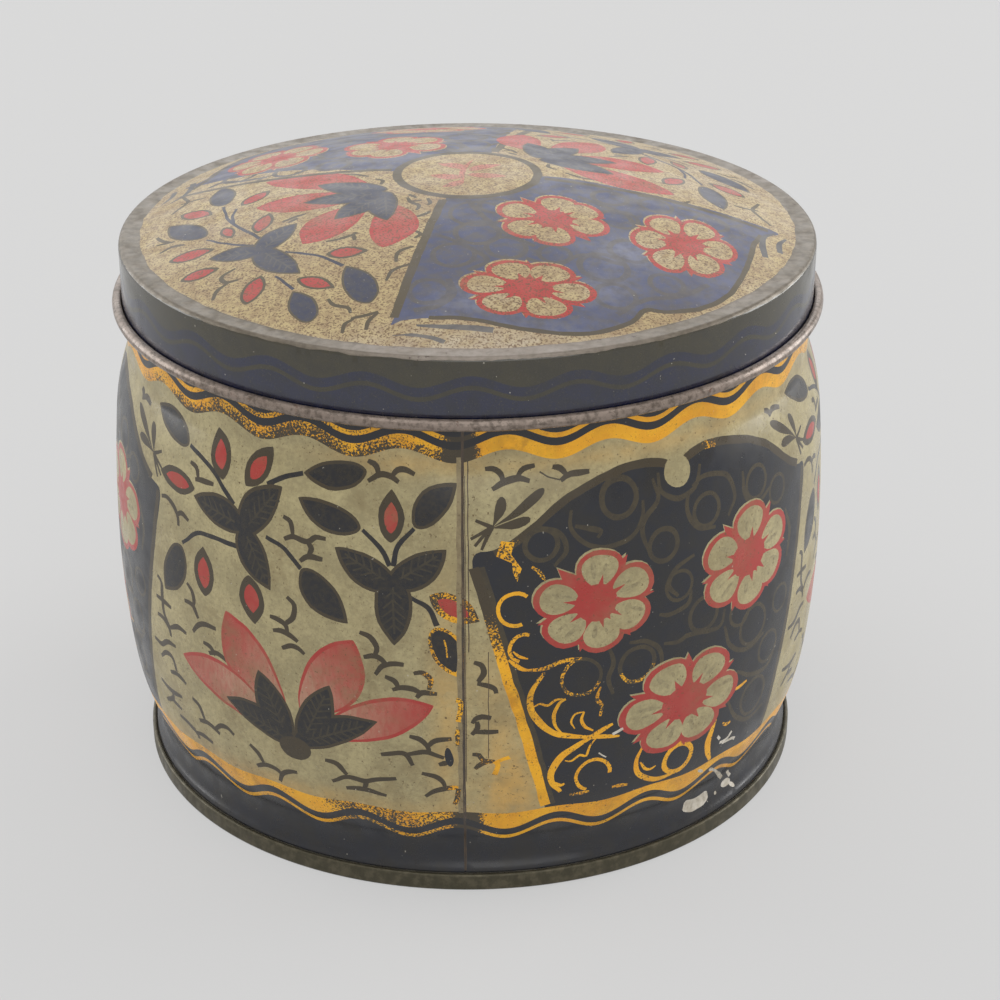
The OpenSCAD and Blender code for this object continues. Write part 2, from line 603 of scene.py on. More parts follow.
@dataclass(frozen=True)
class PointedMotif:
    """A leaf, bud or petal.

    Attributes:
        base: Lower end.
        tip: Point.
        width: Largest width.
    """

    base: Point
    tip: Point
    width: float

    def inset(self, start: float, end: float) -> tuple[np.ndarray, np.ndarray]:
        """Its base and tip, each drawn in along its length.

        Args:
            start: How far the base moves in.
            end: How far the tip moves in.

        Returns:
            The new base and tip.
        """
        a, b = np.asarray(self.base), np.asarray(self.tip)
        ahead = (b - a) / np.linalg.norm(b - a)
        return (a + ahead * start, b - ahead * end)


@dataclass(frozen=True)
class Leaf(PointedMotif):
    """A dark leaf with a gilt edge and faint veins.

    Attributes:
        bow: Sideways bend of its middle.
        edge: Width of the gilt edge.
        gilt: Brightness of its gilding.
    """

    bow: float = 0.0
    edge: float = 0.75
    gilt: Glow = 0.0

    def draw_edge(self, pen: Pen) -> None:
        """Draws the gilt edge."""
        pen.fill(blade(self.base, self.tip, self.width, self.bow), Ink.GILT, self.gilt)

    def draw_field(self, pen: Pen) -> None:
        """Draws the blue field."""
        base, tip = self.inset(self.edge, 1.5 * self.edge)
        pen.fill(blade(base, tip, self.width - 2 * self.edge, self.bow), Ink.LEAF)

    def draw_veins(self, pen: Pen) -> None:
        """Draws a faint rib with slanting veins.

        Args:
            pen: Pen to draw with.
        """
        a, b = np.asarray(self.base), np.asarray(self.tip)
        length = float(np.linalg.norm(b - a))
        ahead = (b - a) / length
        side = np.array([-ahead[1], ahead[0]])
        pen.stroke((a + 0.2 * length * ahead, a + 0.84 * length * ahead), 0.45, Ink.VEIN, step=1.5)
        for share in np.arange(0.26, 0.8, 1.9 / length):
            reach = 0.3 * self.width * math.sin(math.pi * share)
            start = a + share * length * ahead
            for way in (-1, 1):
                pen.stroke((start, start + reach * (way * side + 0.9 * ahead)), 0.4, Ink.VEIN, step=2.0)


def draw_leaves(pen: Pen, leaves: Sequence[Leaf], veined: bool = False) -> None:
    """Draws leaves that run into each other, without edges across the joints.

    Args:
        pen: Pen to draw with.
        leaves: The leaves.
        veined: True adds veins.
    """
    for draw in (Leaf.draw_edge, Leaf.draw_field, Leaf.draw_veins)[: 3 if veined else 2]:
        for leaf in leaves:
            draw(leaf, pen)


@dataclass(frozen=True)
class Bud(PointedMotif):
    """A red bud in a thick gilt edge.

    Attributes:
        edge: Width of the gilt edge.
        gilt: Brightness of its gilding.
    """

    edge: float = 1.25
    gilt: Glow = 0.0

    SHAPE = (0.0, 0.48, (0.8, 0.92))

    def draw(self, pen: Pen) -> None:
        """Draws the gilt edge and the red middle.

        Args:
            pen: Pen to draw with.
        """
        pen.fill(blade(self.base, self.tip, self.width, *self.SHAPE), Ink.GILT, self.gilt)
        core = self.inset(1.6 * self.edge, 2.0 * self.edge)
        pen.fill(blade(*core, self.width - 2.1 * self.edge, *self.SHAPE), Ink.RED)


def bud_at(centre: Point, length: float, width: float, turn: float, edge: float = 1.25) -> Bud:
    """A bud given by its middle.

    Args:
        centre: Middle of the bud.
        length: Its length.
        width: Its width.
        turn: Direction of its length, in degrees.
        edge: Width of the gilt edge.

    Returns:
        The bud.
    """
    dx, dy = (length / 2 * way(math.radians(turn)) for way in (math.cos, math.sin))
    return Bud((centre[0] - dx, centre[1] - dy), (centre[0] + dx, centre[1] + dy), width, edge)


@dataclass(frozen=True)
class Rosette:
    """A flower of six cream petals in a red rim.

    Attributes:
        centre: Middle of the flower.
        span: Width and height over the petals.
        petals: Directions of its petals, in degrees, one after the other.
        hub: Length and width of the red centre.
        skew: Turn of the whole flower's stretch, in degrees.
    """

    centre: Point
    span: Point
    petals: tuple[float, ...] = (90, 30, -30, -90, -150, -210)
    hub: Point = (9.5, 8.5)
    skew: float = 0.0

    MISPRINT = (-0.3, 0.45)
    SMUDGES = ((9.0, 0.8, 0.46), (-7.0, 0.74, 0.4), (12.0, 0.84, 0.58), (-10.0, 0.7, 0.44))
    CORNERS = 22

    def lobe(self, angle: float, reach: float, width: float, start: float) -> np.ndarray:
        """Outline of one petal.

        Args:
            angle: Its direction, in degrees.
            reach: Share of the span that it reaches.
            width: Its width as a share of the span.
            start: Share at which it starts.

        Returns:
            Corners of the outline.
        """
        turns = np.linspace(0, FULL_TURN, self.CORNERS, endpoint=False)
        along = (reach + start) / 2 + (reach - start) / 2 * np.cos(turns)
        swell = 0.66 + 0.34 * (along - start) / (reach - start)
        return self.stretch(turned(np.column_stack([along, width / 2 * np.sin(turns) * swell]), angle))

    def stretch(self, unit: np.ndarray) -> np.ndarray:
        """Fits points of the unit flower to the flower's span, skew and place."""
        return turned(unit * (np.asarray(self.span) / 2), self.skew) + np.asarray(self.centre)

    def ray(self, angle: float, near: float, far: float, width: float) -> np.ndarray:
        """A thin pointed triangle along a direction, from near to its point far out."""
        return self.stretch(turned([(near, -width), (far, 0.0), (near, width)], angle))

    def draw(self, pen: Pen) -> None:
        """Draws pale misprint, rim, thorns, petals, spikes and centre.

        Args:
            pen: Pen to draw with.
        """
        place = np.asarray(pen.shift)
        for ink, off in ((Ink.CREAM, self.MISPRINT), (Ink.RED, (0.0, 0.0))):
            pen.shift = tuple(place + turned(off, pen.turn))
            for angle, before in zip(self.petals, (self.petals[-1] + 360, *self.petals)):
                pen.fill(self.lobe(angle, 1.0, 0.9, 0.1), ink)
                pen.fill(self.ray((angle + before) / 2 + 4, 0.4, 0.96, 0.22), ink, steady=True)
        for angle in self.petals:
            pen.fill(self.lobe(angle, 0.9, 0.69, 0.3), Ink.CREAM)
        for i, angle in enumerate(self.petals):
            aside, reach, start = self.SMUDGES[i % len(self.SMUDGES)]
            pen.fill(self.lobe(angle + aside, reach, 0.1, start), Ink.SMUDGE)
            pen.fill(self.lobe(angle - 0.8 * aside, reach - 0.06, 0.06, start + 0.12), Ink.SMUDGE)
        near = 0.8 * self.hub[0] / self.span[0]
        for i, angle in enumerate(self.petals):
            pen.fill(self.ray(angle + (-6, 5)[i % 2], near, 0.53, 0.06), Ink.RED, steady=True)
        pen.blob(self.centre, self.hub, Ink.RED, self.skew, count=24)


@dataclass(frozen=True)
class Petal(PointedMotif):
    """A red lotus petal that pales towards its base and inner side.

    Attributes:
        bow: Sideways bend of its middle.
        inner: Way from its base to where it is palest.
        paling: Paling at its tip and at its palest place.
    """

    bow: float = 0.0
    inner: Point = (0.0, 6.0)
    paling: Point = (0.12, 1.0)

    SHAPE = (0.55, (0.7, 0.86))
    RIM = 0.85

    def draw(self, pen: Pen) -> None:
        """Draws the red edge and the field that pales.

        Args:
            pen: Pen to draw with.
        """
        pen.fill(blade(self.base, self.tip, self.width, self.bow, *self.SHAPE), Ink.RED)
        inner = blade(*self.inset(0.2, 1.0), self.width - 2 * self.RIM, self.bow, *self.SHAPE)
        end, start = np.asarray(self.tip), np.asarray(self.base) + np.asarray(self.inner)
        least, most = self.paling
        whole = (start - end) / (most - least)
        zero = end - least * whole
        pen.fill(inner, Ink.RED, fade=(zero, zero + whole))


@dataclass(frozen=True)
class Stem:
    """A thin blue stem.

    Attributes:
        points: Points that it passes through.
        width: Its width.
    """

    points: tuple[Point, ...]
    width: float = 1.1

    def draw(self, pen: Pen) -> None:
        """Draws the stem with a slightly thicker end."""
        pen.stroke(self.points, lambda t: self.width * (0.8 + 0.3 * t), Ink.LEAF)


def draw_marks(pen: Pen, marks: Iterable[tuple[Point, ...]], width: float) -> None:
    """Draws small filling marks as brush arcs, full in the middle.

    Args:
        pen: Pen to draw with.
        marks: Points of each arc.
        width: Width of the brush.
    """
    for points in marks:
        pen.stroke(points, lambda t: width * (0.72 + 0.34 * math.sin(math.pi * t)), step=0.8)


def bare(_u: float, _z: float) -> float:
    """Brightness where no gilding is left."""
    return 0.0


@dataclass(frozen=True)
class Plume:
    """A fan of three tapered brush strokes with thin tails.

    Attributes:
        cross: Where the strokes meet.
        tips: Thick ends.
        tails: Thin ends beyond the crossing.
    """

    cross: Point
    tips: tuple[Point, ...]
    tails: tuple[Point, ...]

    def mirrored(self, middle: float) -> "Plume":
        """The fan on the other side of an upright line.

        Args:
            middle: Where that line stands.

        Returns:
            The mirrored fan.
        """
        parts = ((self.cross,), self.tips, self.tails)
        (cross,), tips, tails = (tuple((2 * middle - x, y) for x, y in part) for part in parts)
        return Plume(cross, tips, tails)

    def draw(self, pen: Pen) -> None:
        """Draws each stroke, thick towards its tip.

        Args:
            pen: Pen to draw with.
        """
        for tip in self.tips:
            ahead = (np.asarray(tip) - self.cross) / math.dist(tip, self.cross)
            start = np.asarray(self.cross) - 0.6 * ahead
            pen.fill(blade(start, tip, 2.2, -0.35, 0.7, (0.85, 0.5)), Ink.GILT, bare)
        for tail in self.tails:
            pen.stroke((self.cross, tail), lambda t: 0.95 - 0.3 * t, gilt=bare, step=1.0)


@dataclass(frozen=True)
class SoftSpot:
    """A soft round place that adds a value, used for bright gilding on the wall, real stains on its cream and
    painted sheen on the lid.

    Attributes:
        centre: Middle of the place.
        reach: Half its width and height.
        amount: Value added at its middle.
    """

    centre: Point
    reach: Point
    amount: float

    def at(self, u: float, z: float) -> float:
        """Value that it adds at a point."""
        far = ((u - self.centre[0]) / self.reach[0]) ** 2 + ((z - self.centre[1]) / self.reach[1]) ** 2
        return self.amount * math.exp(-far)


@dataclass
class WallArt:
    """Flat print of the wall: three repeats of a navy panel and a cream panel between wavy gilt borders.

    Lengths run round the belly from a line 1.5 mm right of the side seam, and up from the resting plane.

    Attributes:
        start: Where the flat print begins, at the side seam.
        repeats: Repeats once round.
        waves: Waves of each border once round.
        crest: Where one of the waves is highest.
        panel_mid: Middle line of a navy panel.
    """

    start: float = -1.5
    repeats: int = 3
    waves: int = 23
    crest: float = 8.0
    panel_mid: float = 47.0

    LEAVES = (
        Leaf((-69, 95.8), (-83.8, 100.2), 5.8, -0.6), Leaf((-22, 99.8), (-36.5, 97.7), 6, 0.5),
        Leaf((-22.7, 88.2), (-37.3, 92.6), 6.4, 0.7), Leaf((-11.6, 89.6), (-2.7, 98.6), 6.6, 0.6),
        Leaf((-36.2, 77.2), (-25.7, 66.8), 7.8, -0.5), Leaf((-70, 72.6), (-77.5, 59.5), 8, 0.6),
        Leaf((-7.2, 67.6), (-2.6, 56.2), 7, 0.3, gilt=0.35),
    )
    TREFOILS = (
        Leaf((-51.5, 81.5), (-41.3, 94), 8.2, 0.9), Leaf((-50, 83), (-65.8, 85.6), 7.4, -0.6),
        Leaf((-51.3, 84), (-43.8, 70.6), 7.8, -0.7), Leaf((-15, 76.2), (-28.5, 83.5), 7.4, 0.7),
        Leaf((-17, 76.2), (-4.8, 84.9), 7.4, -0.6), Leaf((-16, 79.5), (-15.8, 63), 8.2),
    )
    BUDS = (
        Bud((-57, 91.8), (-60.4, 102), 6.2), Bud((-50.5, 92.2), (-44.8, 101.3), 6),
        bud_at((-72.2, 87.2), 13.2, 5.7, 180), bud_at((-62.6, 69.2), 11.8, 6.4, 92),
        bud_at((-48.7, 67), 11.2, 6.6, -82), bud_at((-16.4, 91.3), 11, 5.6, 90),
        Bud((-8.4, 74.8), (2, 69), 6, gilt=0.25),
    )
    STEMS = (
        Stem(((-68.6, 95.8), (-60.5, 93), (-53.6, 87.4))), Stem(((-36.6, 97.6), (-41, 96), (-45, 93.6))),
        Stem(((-69.8, 73.4), (-63.5, 77.8), (-52.6, 78.2))),
        Stem(((-44.9, 82.4), (-40.5, 81), (-36.3, 77.2))),
        Stem(((-22.3, 88), (-18.6, 84.6), (-16.6, 80.8))),
        Stem(((-11.5, 89.2), (-14.8, 85.4), (-15.8, 80.8))), Stem(((-12.4, 74.2), (-8.6, 72), (-6.8, 68))),
    )
    PETALS = (
        Petal((-41, 41), (-56.2, 62), 13, 1.6, (3, 11)), Petal((-37.5, 43), (-24.6, 63), 13, -1.6, (-3, 8)),
        Petal((-42, 36), (-71.8, 45.6), 10.5, -2.4, (-8, 9), (0.35, 1)),
        Petal((-34, 38.5), (-7.8, 49.2), 10, 0.2, (4, 9)),
    )
    LOTUS_LEAVES = (
        Leaf((-41, 34.5), (-47.8, 50.6), 8.6, 0.3), Leaf((-38, 34.5), (-30.2, 51.2), 8.2, -0.3),
        Leaf((-38.5, 34), (-57.8, 40.4), 7, -1), Leaf((-40.5, 34.2), (-19.8, 44), 7.6, 0.9),
    )
    # Course of each small filling mark
    MARKS = (
        ((-21.9, 102.1), (-20, 101.1), (-19.3, 99.3)),
        ((-21.6, 98), (-19.1, 99.6), (-17.2, 99.4), (-15.1, 98.3)),
        ((-16.6, 99.3), (-15.3, 100.6), (-13.4, 100.8), (-11.6, 100)),
        ((-40.6, 88), (-38.8, 87.1), (-38.3, 84.6)),
        ((-40.3, 83.1), (-38.1, 84.1), (-34.7, 83.6), (-32.8, 84.9), (-30.5, 85)),
        ((-34.7, 83.6), (-33.8, 82.1), (-34.4, 80.5)), ((-36.4, 78.9), (-34.7, 80.2), (-31.3, 80.2)),
        ((-39.7, 70.2), (-38, 68.6), (-38.4, 65.5), (-40.3, 63.6)),
        ((-44.1, 64.6), (-42.2, 64.3), (-40.3, 63.5), (-39.7, 61.9)),
        ((-43.4, 61.3), (-41.3, 61.8), (-39.1, 61.4), (-37.2, 60.2)),
        ((-41.3, 57.7), (-39.1, 58.8), (-37.2, 58.6), (-35.8, 57.5)),
        ((-23.3, 65.2), (-20.9, 64.3), (-19.5, 62.1), (-20, 59.9)),
        ((-22.4, 59.4), (-20, 59.9), (-18.4, 59.1), (-17.2, 57.7)),
        ((-20, 55.6), (-18.4, 57.7), (-16.3, 58.6), (-13.9, 58.6)),
        ((-17.8, 55.4), (-15.9, 54.6), (-15, 53)),
        ((-16.4, 52.3), (-14.4, 53.1), (-12.2, 53), (-10.3, 52.1)),
        ((-11.3, 51), (-10, 52.2), (-6.9, 52.1)), ((-11.9, 56.6), (-10, 56.9), (-8.4, 55.5), (-8.6, 53)),
        ((-19.4, 35.8), (-16.9, 36.4), (-14.1, 36.4), (-12.5, 33.6)),
        ((-14.1, 36.1), (-11.6, 37.1), (-9.1, 37.4), (-5.6, 36.1)),
        ((-13.1, 41.1), (-10.6, 40.5), (-9.1, 38.9), (-8.9, 37.4)),
        ((-9.1, 38.9), (-7.5, 40.5), (-4.1, 41.1)), ((-6.9, 34.3), (-4.4, 35.2)),
        ((-32.5, 31.8), (-29.7, 31.4), (-27.5, 28.9)),
        ((-31.3, 26.4), (-27.5, 28.3), (-23.4, 28), (-20.9, 28.9), (-16.3, 29.8)),
        ((-22.8, 28.3), (-23.8, 25.8)), ((-28.1, 25.2), (-23.8, 25.8), (-18.8, 24.8)),
        ((-10.6, 31.8), (-7.8, 31.1), (-6.3, 29.9), (-5.6, 28.3)),
        ((-10, 25.6), (-7.5, 27.4), (-3.4, 28.3), (-1.6, 27.4)),
        ((-67.8, 92.5), (-65.6, 91.9), (-64.7, 89.9)), ((-65.6, 89.3), (-63.1, 89.9), (-59.7, 90)),
        ((-78.1, 81.3), (-75.6, 81.8), (-73.1, 80.8), (-71.6, 79), (-71.3, 76.8)),
        ((-71.8, 79.4), (-70, 80.2), (-67.6, 79.3)),
        ((-68.6, 64.3), (-66.9, 63), (-66.3, 61.1), (-66.6, 59.5)),
        ((-69.7, 59.6), (-66.9, 59.6), (-65, 57.1)),
        ((-67.2, 53.1), (-65, 55.5), (-63.1, 56.4), (-59.4, 56.6)),
        ((-80.9, 61.4), (-79.1, 60.2), (-79.1, 56.1), (-78.6, 53), (-76.6, 50.2)),
        ((-81.9, 55.8), (-78.8, 55.8), (-75.3, 55.5)),
        ((-81.9, 51.4), (-79.1, 51.4), (-76.9, 49.9), (-76.4, 48)),
        ((-76.4, 50.2), (-73.1, 51.8), (-69.7, 51.4)), ((-63.8, 51.8), (-61.6, 51.4), (-60, 49.9)),
        ((-62.2, 49.6), (-59.4, 50.6), (-55, 49.3)),
        ((-85, 43.9), (-81.3, 43.9), (-78.1, 45.8), (-74.7, 46.1)),
        ((-82.5, 40.2), (-79.7, 42.4), (-76.9, 42.1), (-75.8, 39.3)),
        ((-78.8, 37.7), (-75.6, 38.6), (-72.2, 37.4)), ((-85, 33), (-80, 32.1), (-75, 32.7)),
        ((-80, 32.1), (-79.7, 30.5), (-83.8, 28)), ((-81.3, 29.9), (-76.3, 28.9)),
        ((-70.5, 34.6), (-68.1, 33.6), (-66.6, 30.2)), ((-69.1, 29.3), (-65.6, 30.2), (-61.9, 28.8)),
        ((-63.4, 29.6), (-60.9, 31.4), (-58.8, 31.6), (-56.9, 30.5)),
        ((-78.1, 26.4), (-74.4, 26), (-71.3, 24.6), (-70.9, 23.3)),
        ((-71.6, 24.9), (-68.8, 25.4), (-65.3, 24.6)), ((-52.5, 29.9), (-50.3, 28.3), (-49.1, 26.1)),
        ((-51.3, 24.3), (-48.8, 25.6), (-45.9, 25.6), (-44.1, 24.3)),
        ((-45.3, 22.1), (-44.1, 24.6), (-41.9, 26), (-39.9, 26.3)),
        ((0.7, 59.8), (2.3, 59), (2.75, 57.1), (1.5, 55)),
        ((1.3, 54.6), (3.6, 54.1), (5, 53.3), (5.3, 52.1)),
        ((0.2, 45), (0.9, 46), (2.3, 46.5), (4.2, 46.2)), ((1.3, 45.4), (1.3, 43.8), (0.1, 42.1)),
        ((0.9, 42.7), (2.8, 42.7), (5.9, 42.7)), ((0.3, 37.1), (1.7, 36.9), (2.5, 35.6), (5, 35.1)),
        ((0.7, 33.1), (1.9, 34.4), (3.6, 35.2)), ((3.3, 101.3), (5, 101.3), (6.7, 100), (7.3, 98.3)),
        ((4.8, 97.3), (7.1, 98.5), (10, 99.2), (12.9, 98.5)), ((10.2, 99.6), (11.7, 101), (14, 101.5)),
        ((17.9, 101), (19.6, 100.6), (20.8, 99.2)), ((19.6, 98.1), (21.7, 99.1), (26, 99.2)),
        ((77.3, 99.9), (78.7, 99.3), (79.3, 98)), ((78.8, 98.2), (81, 99.2), (84, 98.4)),
    )
    PANEL_EDGE = (
        (16.8, 18), (16.3, 22), (13.2, 34), (9.8, 47), (6.2, 60), (3, 72.5), (0.6, 81), (1.2, 84.2),
        (5, 84.8), (10, 87.6), (20, 95), (30, 98.7), (38, 99.7), (43, 98.9), (45.5, 98), (48.5, 98),
        (51, 98.9), (57, 99.7), (66, 97.8), (75, 92.8), (84, 86.2), (89, 83.6), (93, 82), (91.2, 73),
        (88.4, 60), (85.6, 47), (83, 34), (81, 22), (80.6, 18),
    )
    ROSETTES = (
        Rosette((26.6, 71), (28, 23.4), (85, 24, -34, -83, -137, -195)),
        Rosette((67.2, 70.4), (31, 25), (87, 16, -40, -86, -146, -207), (11.4, 8.8)),
        Rosette((49, 41.5), (33.5, 25), (117, 53, -10, -64, -116, -180), (12.5, 8.6)),
    )
    # Course and width of each scroll
    BRIGHT_SCROLLS = (
        (((15, 55.7), (12.9, 52.4), (12.4, 49.5), (13.3, 46.1), (16, 42.5), (19.3, 40.4), (25.6, 39)), 1.4),
        (((12.9, 48.1), (14.5, 49), (16.1, 48.3), (17.9, 49.4), (20.1, 49.3)), 0.55),
        (((20.1, 49.3), (18.6, 48.5), (17.6, 46.1), (17.9, 43.3), (19.3, 40.9)), 0.8),
        (((22.2, 41.6), (21.4, 43.5), (22.2, 45.2), (24.2, 45.4)), 0.45),
        (((24.2, 45.4), (23.7, 43.7), (24.6, 41.8), (26.4, 40.4)), 0.75),
        (((24, 39.2), (26, 38.9), (28.4, 40), (31, 41)), 1.2), (((24.6, 39), (28, 38.4), (32.6, 37.6)), 1),
        (((26.2, 38.9), (21.8, 36.5), (18.9, 34.1), (17.4, 30.8), (17.9, 27.9), (19.8, 25.4)), 1.6),
        (((17.9, 28.4), (19.6, 27.2), (20.4, 27.6)), 0.8),
        (((20.3, 33.6), (21.8, 33.4), (23.7, 34.6), (25.1, 34.1), (25.8, 36.5), (27.2, 38.2)), 0.55),
        (((38.6, 32.7), (37.4, 29.3), (38.3, 25.9), (41, 23.5), (44.8, 22.3), (49.2, 22.6)), 1.2),
        (((38.4, 29), (40, 26.7), (41.5, 26.2), (42.7, 26.8)), 0.7),
        (((59.3, 32.8), (57.9, 28), (58.4, 24.6), (60, 21.4)), 1.7),
        (((7.8, 60), (10.2, 57.9), (11.9, 57.3)), 0.9), (((8.8, 62), (10.2, 60.6), (11.9, 59.9)), 0.6),
    )
    SPECKLED_SCROLLS = (
        ((11.9, 57.3), (15, 57.2), (18.9, 58.4), (23.4, 58.6)),
        ((27.6, 51), (27, 48.2), (28.2, 46.4), (27.8, 43.7)), ((22, 24), (24, 23.9), (26.4, 24.2)),
        ((32, 24), (34, 23.8), (35.8, 23.5)), ((12.7, 80.8), (14.2, 79.4), (15.4, 77.5)),
        ((64, 38.4), (66.4, 38.4), (69, 38.9)), ((62, 30.6), (63.4, 29.8), (64.8, 30)),
        ((15.4, 56.4), (14.2, 54.8), (13.4, 53.2)),
    )
    # Centre, radius, line width, brightness and arc of each ring
    BRIGHT_RINGS = (
        ((9.4, 71.5), 3.7, 0.85, 0.95, (50, 290)), ((11.2, 62.4), 3.2, 0.8, 0.8, (70, 250)),
        ((23.4, 54.1), 4.3, 0.8, 0.5, (110, 335)), ((27, 28.6), 4, 0.85, 0.85, (-5, 250)),
        ((48.9, 26.6), 3.8, 1.3, 0.85, (-180, 180)), ((36.2, 54.5), 4.1, 0.8, 0.42, (200, 350)),
    )
    # Centre, radius and line width of each ring
    DULL_RINGS = (
        ((32.2, 93), 4, 1.3), ((14.8, 85.4), 3.4, 1.1), ((42.4, 80.7), 3.6, 1.1), ((54, 85.4), 3.6, 1),
        ((70.2, 86.6), 3.6, 0.9), ((78.5, 82), 3.2, 0.8), ((53.2, 61.7), 3.9, 1), ((36.2, 54.5), 4.1, 1),
        ((46.4, 70.4), 3.4, 0.8), ((69.5, 53), 4.6, 0.9), ((76.5, 44.5), 3.8, 0.8),
        ((72.5, 33.5), 4.6, 0.9), ((64.5, 58), 3.2, 0.8), ((80.5, 55), 3.2, 0.7), ((23.4, 54.1), 4.3, 0.8),
    )
    DULL_SCROLLS = (
        ((37.7, 91.6), (37.4, 88), (34.7, 84.2), (28.3, 83), (23.3, 85.3), (21, 88.7), (21.4, 92)),
        ((22, 88.6), (25.3, 87.6), (27.7, 86.7), (27, 85.5)),
        ((40.4, 95.4), (41.4, 91), (38.4, 88), (37.2, 84.6), (38.6, 80.2)),
        ((42, 96.2), (42.4, 92.2), (46.4, 90), (51.2, 91.4), (53.2, 95.6)),
        ((49.4, 91), (48.6, 86.7), (51.3, 82.3), (56.4, 80.9)),
        ((50.4, 91.6), (54.2, 92.8), (60.4, 91.2), (62.6, 86), (60.4, 82.2)),
        ((65.5, 90.5), (66, 85), (70.5, 82), (76, 83.6)),
        ((46, 68), (43.6, 71), (45.4, 74.6), (50.4, 76.2)),
        ((41.2, 65), (44, 64.4), (48.6, 65.4), (49.6, 68.6)),
        ((42.6, 57.6), (46.6, 57.2), (49.6, 58), (57.6, 56.8), (59.4, 60.6)),
        ((34, 60.2), (38.4, 59.4), (41.6, 56.4), (42.4, 52)),
        ((29.4, 60), (30.6, 56.2), (29.4, 52.4), (30.6, 48.6)),
        ((59.5, 56.5), (62, 50.5), (68, 47.6), (74, 49)), ((64.8, 43), (70, 40), (76.5, 39), (80, 42)),
        ((62.5, 36.5), (66.5, 30.5), (72, 27.5), (78, 28.5)),
        ((14.4, 89.2), (18.6, 87.6), (20, 83.6), (17.4, 80.4)), ((82, 76), (84.4, 70), (83, 64)),
    )
    PLUME = Plume(
        (4.6, 89.6),
        ((6.9, 95.9), (15.8, 96.9), (12.6, 91.1)),
        ((0.2, 87.4), (0.9, 85.8), (2.4, 84.9), (1.2, 91.2)),
    )
    FLAME = (
        (6.4, 86.8), (9.2, 86.2), (8.4, 83.8), (10.6, 80.6), (9.6, 77.6), (8.8, 79.4), (8.6, 81.8),
        (5.4, 83.4),
    )
    # Heights on a panel's left edge, and the brightness of the gilding there
    EDGE_GLOW = ((20, 58, 63, 68, 72), (1.0, 0.9, 0.62, 0.35, 0.0))
    SPOTS = (
        SoftSpot((-2.6, 47), (1.6, 22), 0.62), SoftSpot((-3.2, 26), (2.4, 5), 0.6),
        SoftSpot((-8, 56), (2.2, 4), 0.45), SoftSpot((-4, 72.5), (3, 5), 0.35),
        SoftSpot((-4.2, 64), (2.2, 4), 0.4), SoftSpot((6, 36), (3.6, 4.4), 0.6),
        SoftSpot((7.2, 90), (2.6, 3.6), 0.5), SoftSpot((57, 98.6), (1.6, 1.2), 0.7),
        SoftSpot((45, 78.6), (2.2, 2), 0.6), SoftSpot((46, 75), (3, 2), 0.35),
        SoftSpot((66.5, 38.4), (4, 1.6), 0.5),
    )
    STAINS = (
        SoftSpot((8.5, 26), (6.5, 8), 1), SoftSpot((7, 38), (4, 8), 0.7), SoftSpot((5, 54), (4, 9), 0.35),
        SoftSpot((-5, 47), (3.5, 26), 0.6), SoftSpot((-45, 21.5), (42, 2.6), 0.55),
        SoftSpot((-15, 102.5), (16, 2.6), 0.4), SoftSpot((40, 102), (48, 2), 0.45),
        SoftSpot((130, 22), (40, 2.6), 0.5), SoftSpot((210, 101.5), (40, 2.6), 0.4),
        SoftSpot((-150, 60), (14, 30), 0.4), SoftSpot((-215, 22), (40, 2.6), 0.5),
    )
    # Places round the tin, and the brightness of a border's gilding there
    TOP_GLOW = (
        (-262, -205, -150, -95, -72, -40, -20, -7, -4.5, 0.8, 2.6, 70, 96, 130, 170, 215, 262),
        (0.72, 0.46, 0.8, 0.9, 0.62, 0.4, 0.52, 0.7, 0.02, 0.0, 1.0, 1.0, 0.92, 0.55, 0.9, 0.5, 0.72),
    )
    FOOT_GLOW = (
        (-262, -200, -150, -95, -36, -30, -12, -5, -3.2, 1.2, 3.6, 70, 100, 140, 190, 262),
        (0.66, 0.92, 0.55, 0.95, 0.95, 0.42, 0.55, 0.5, 0.05, 0.0, 0.95, 1.0, 0.9, 0.5, 0.85, 0.66),
    )
    # Brightness of the gilding in each repeat, from the one before the first
    BRIGHT = (0.62, 1.0, 0.35, 0.7, 0.62)
    # Height and wave depth of each band's lower edge, and of its upper edge
    NAVY_BANDS = (((-6, 0), (19.2, -1.2)), ((105.5, 1.55), (140, 0)))
    FOOT_BANDS = (((17.6, -2), (21, -0.4)), ((14.35, -2), (15.45, -2)))
    TOP_BANDS = (((104, 1.45), (107.1, 1.6)), ((108.85, 1.6), (109.95, 1.6)))
    # Centre, size and turn of each chip, and course and width of each scratch
    CHIP_SPOTS = (
        ((72, 8.6), (4.6, 2), -12), ((74.6, 7.2), (2.2, 1.2), -30), ((67.6, 7.9), (1.1, 0.8), 0),
        ((57.6, 19.2), (2.6, 1), -36), ((61.8, 17.6), (1.9, 1), -40), ((213, 9.6), (3, 1.4), 20),
        ((338, 7.4), (2, 1.2), -8),
    )
    CHIP_LINES = (
        (((55.8, 8.9), (60, 8.2), (64.6, 8.8)), lambda t: 3.3 * min(1.0, 0.6 + 5 * min(t, 1 - t))),
        (((61.4, 18.2), (66, 14.6), (69.6, 10.8)), lambda t: 0.5 + 0.6 * t),
        (((71.4, 12.4), (73.8, 9.6)), 0.9), (((60.9, 27.6), (62, 26.4)), 0.75),
        (((62.2, 25.4), (64.6, 25.6), (66.2, 26.8)), 0.75), (((63.2, 24.9), (66.4, 24.4), (68, 23.8)), 0.75),
        (((31, 38.4), (33.4, 39.4)), 0.6), (((28, 34.2), (29.8, 32.8)), 0.35),
        (((402, 16), (407, 11.4)), 0.6),
    )
    # Distance from the seam, bottom, top and width of each line
    SEAM_LINES = (
        (0.16, 4.5, 112, 0.34), (-0.12, 4.5, 112, 0.3), (1.15, 62, 103, 0.22), (0.5, 30, 100, 0.16),
        (5.2, 36, 62, 0.18),
    )
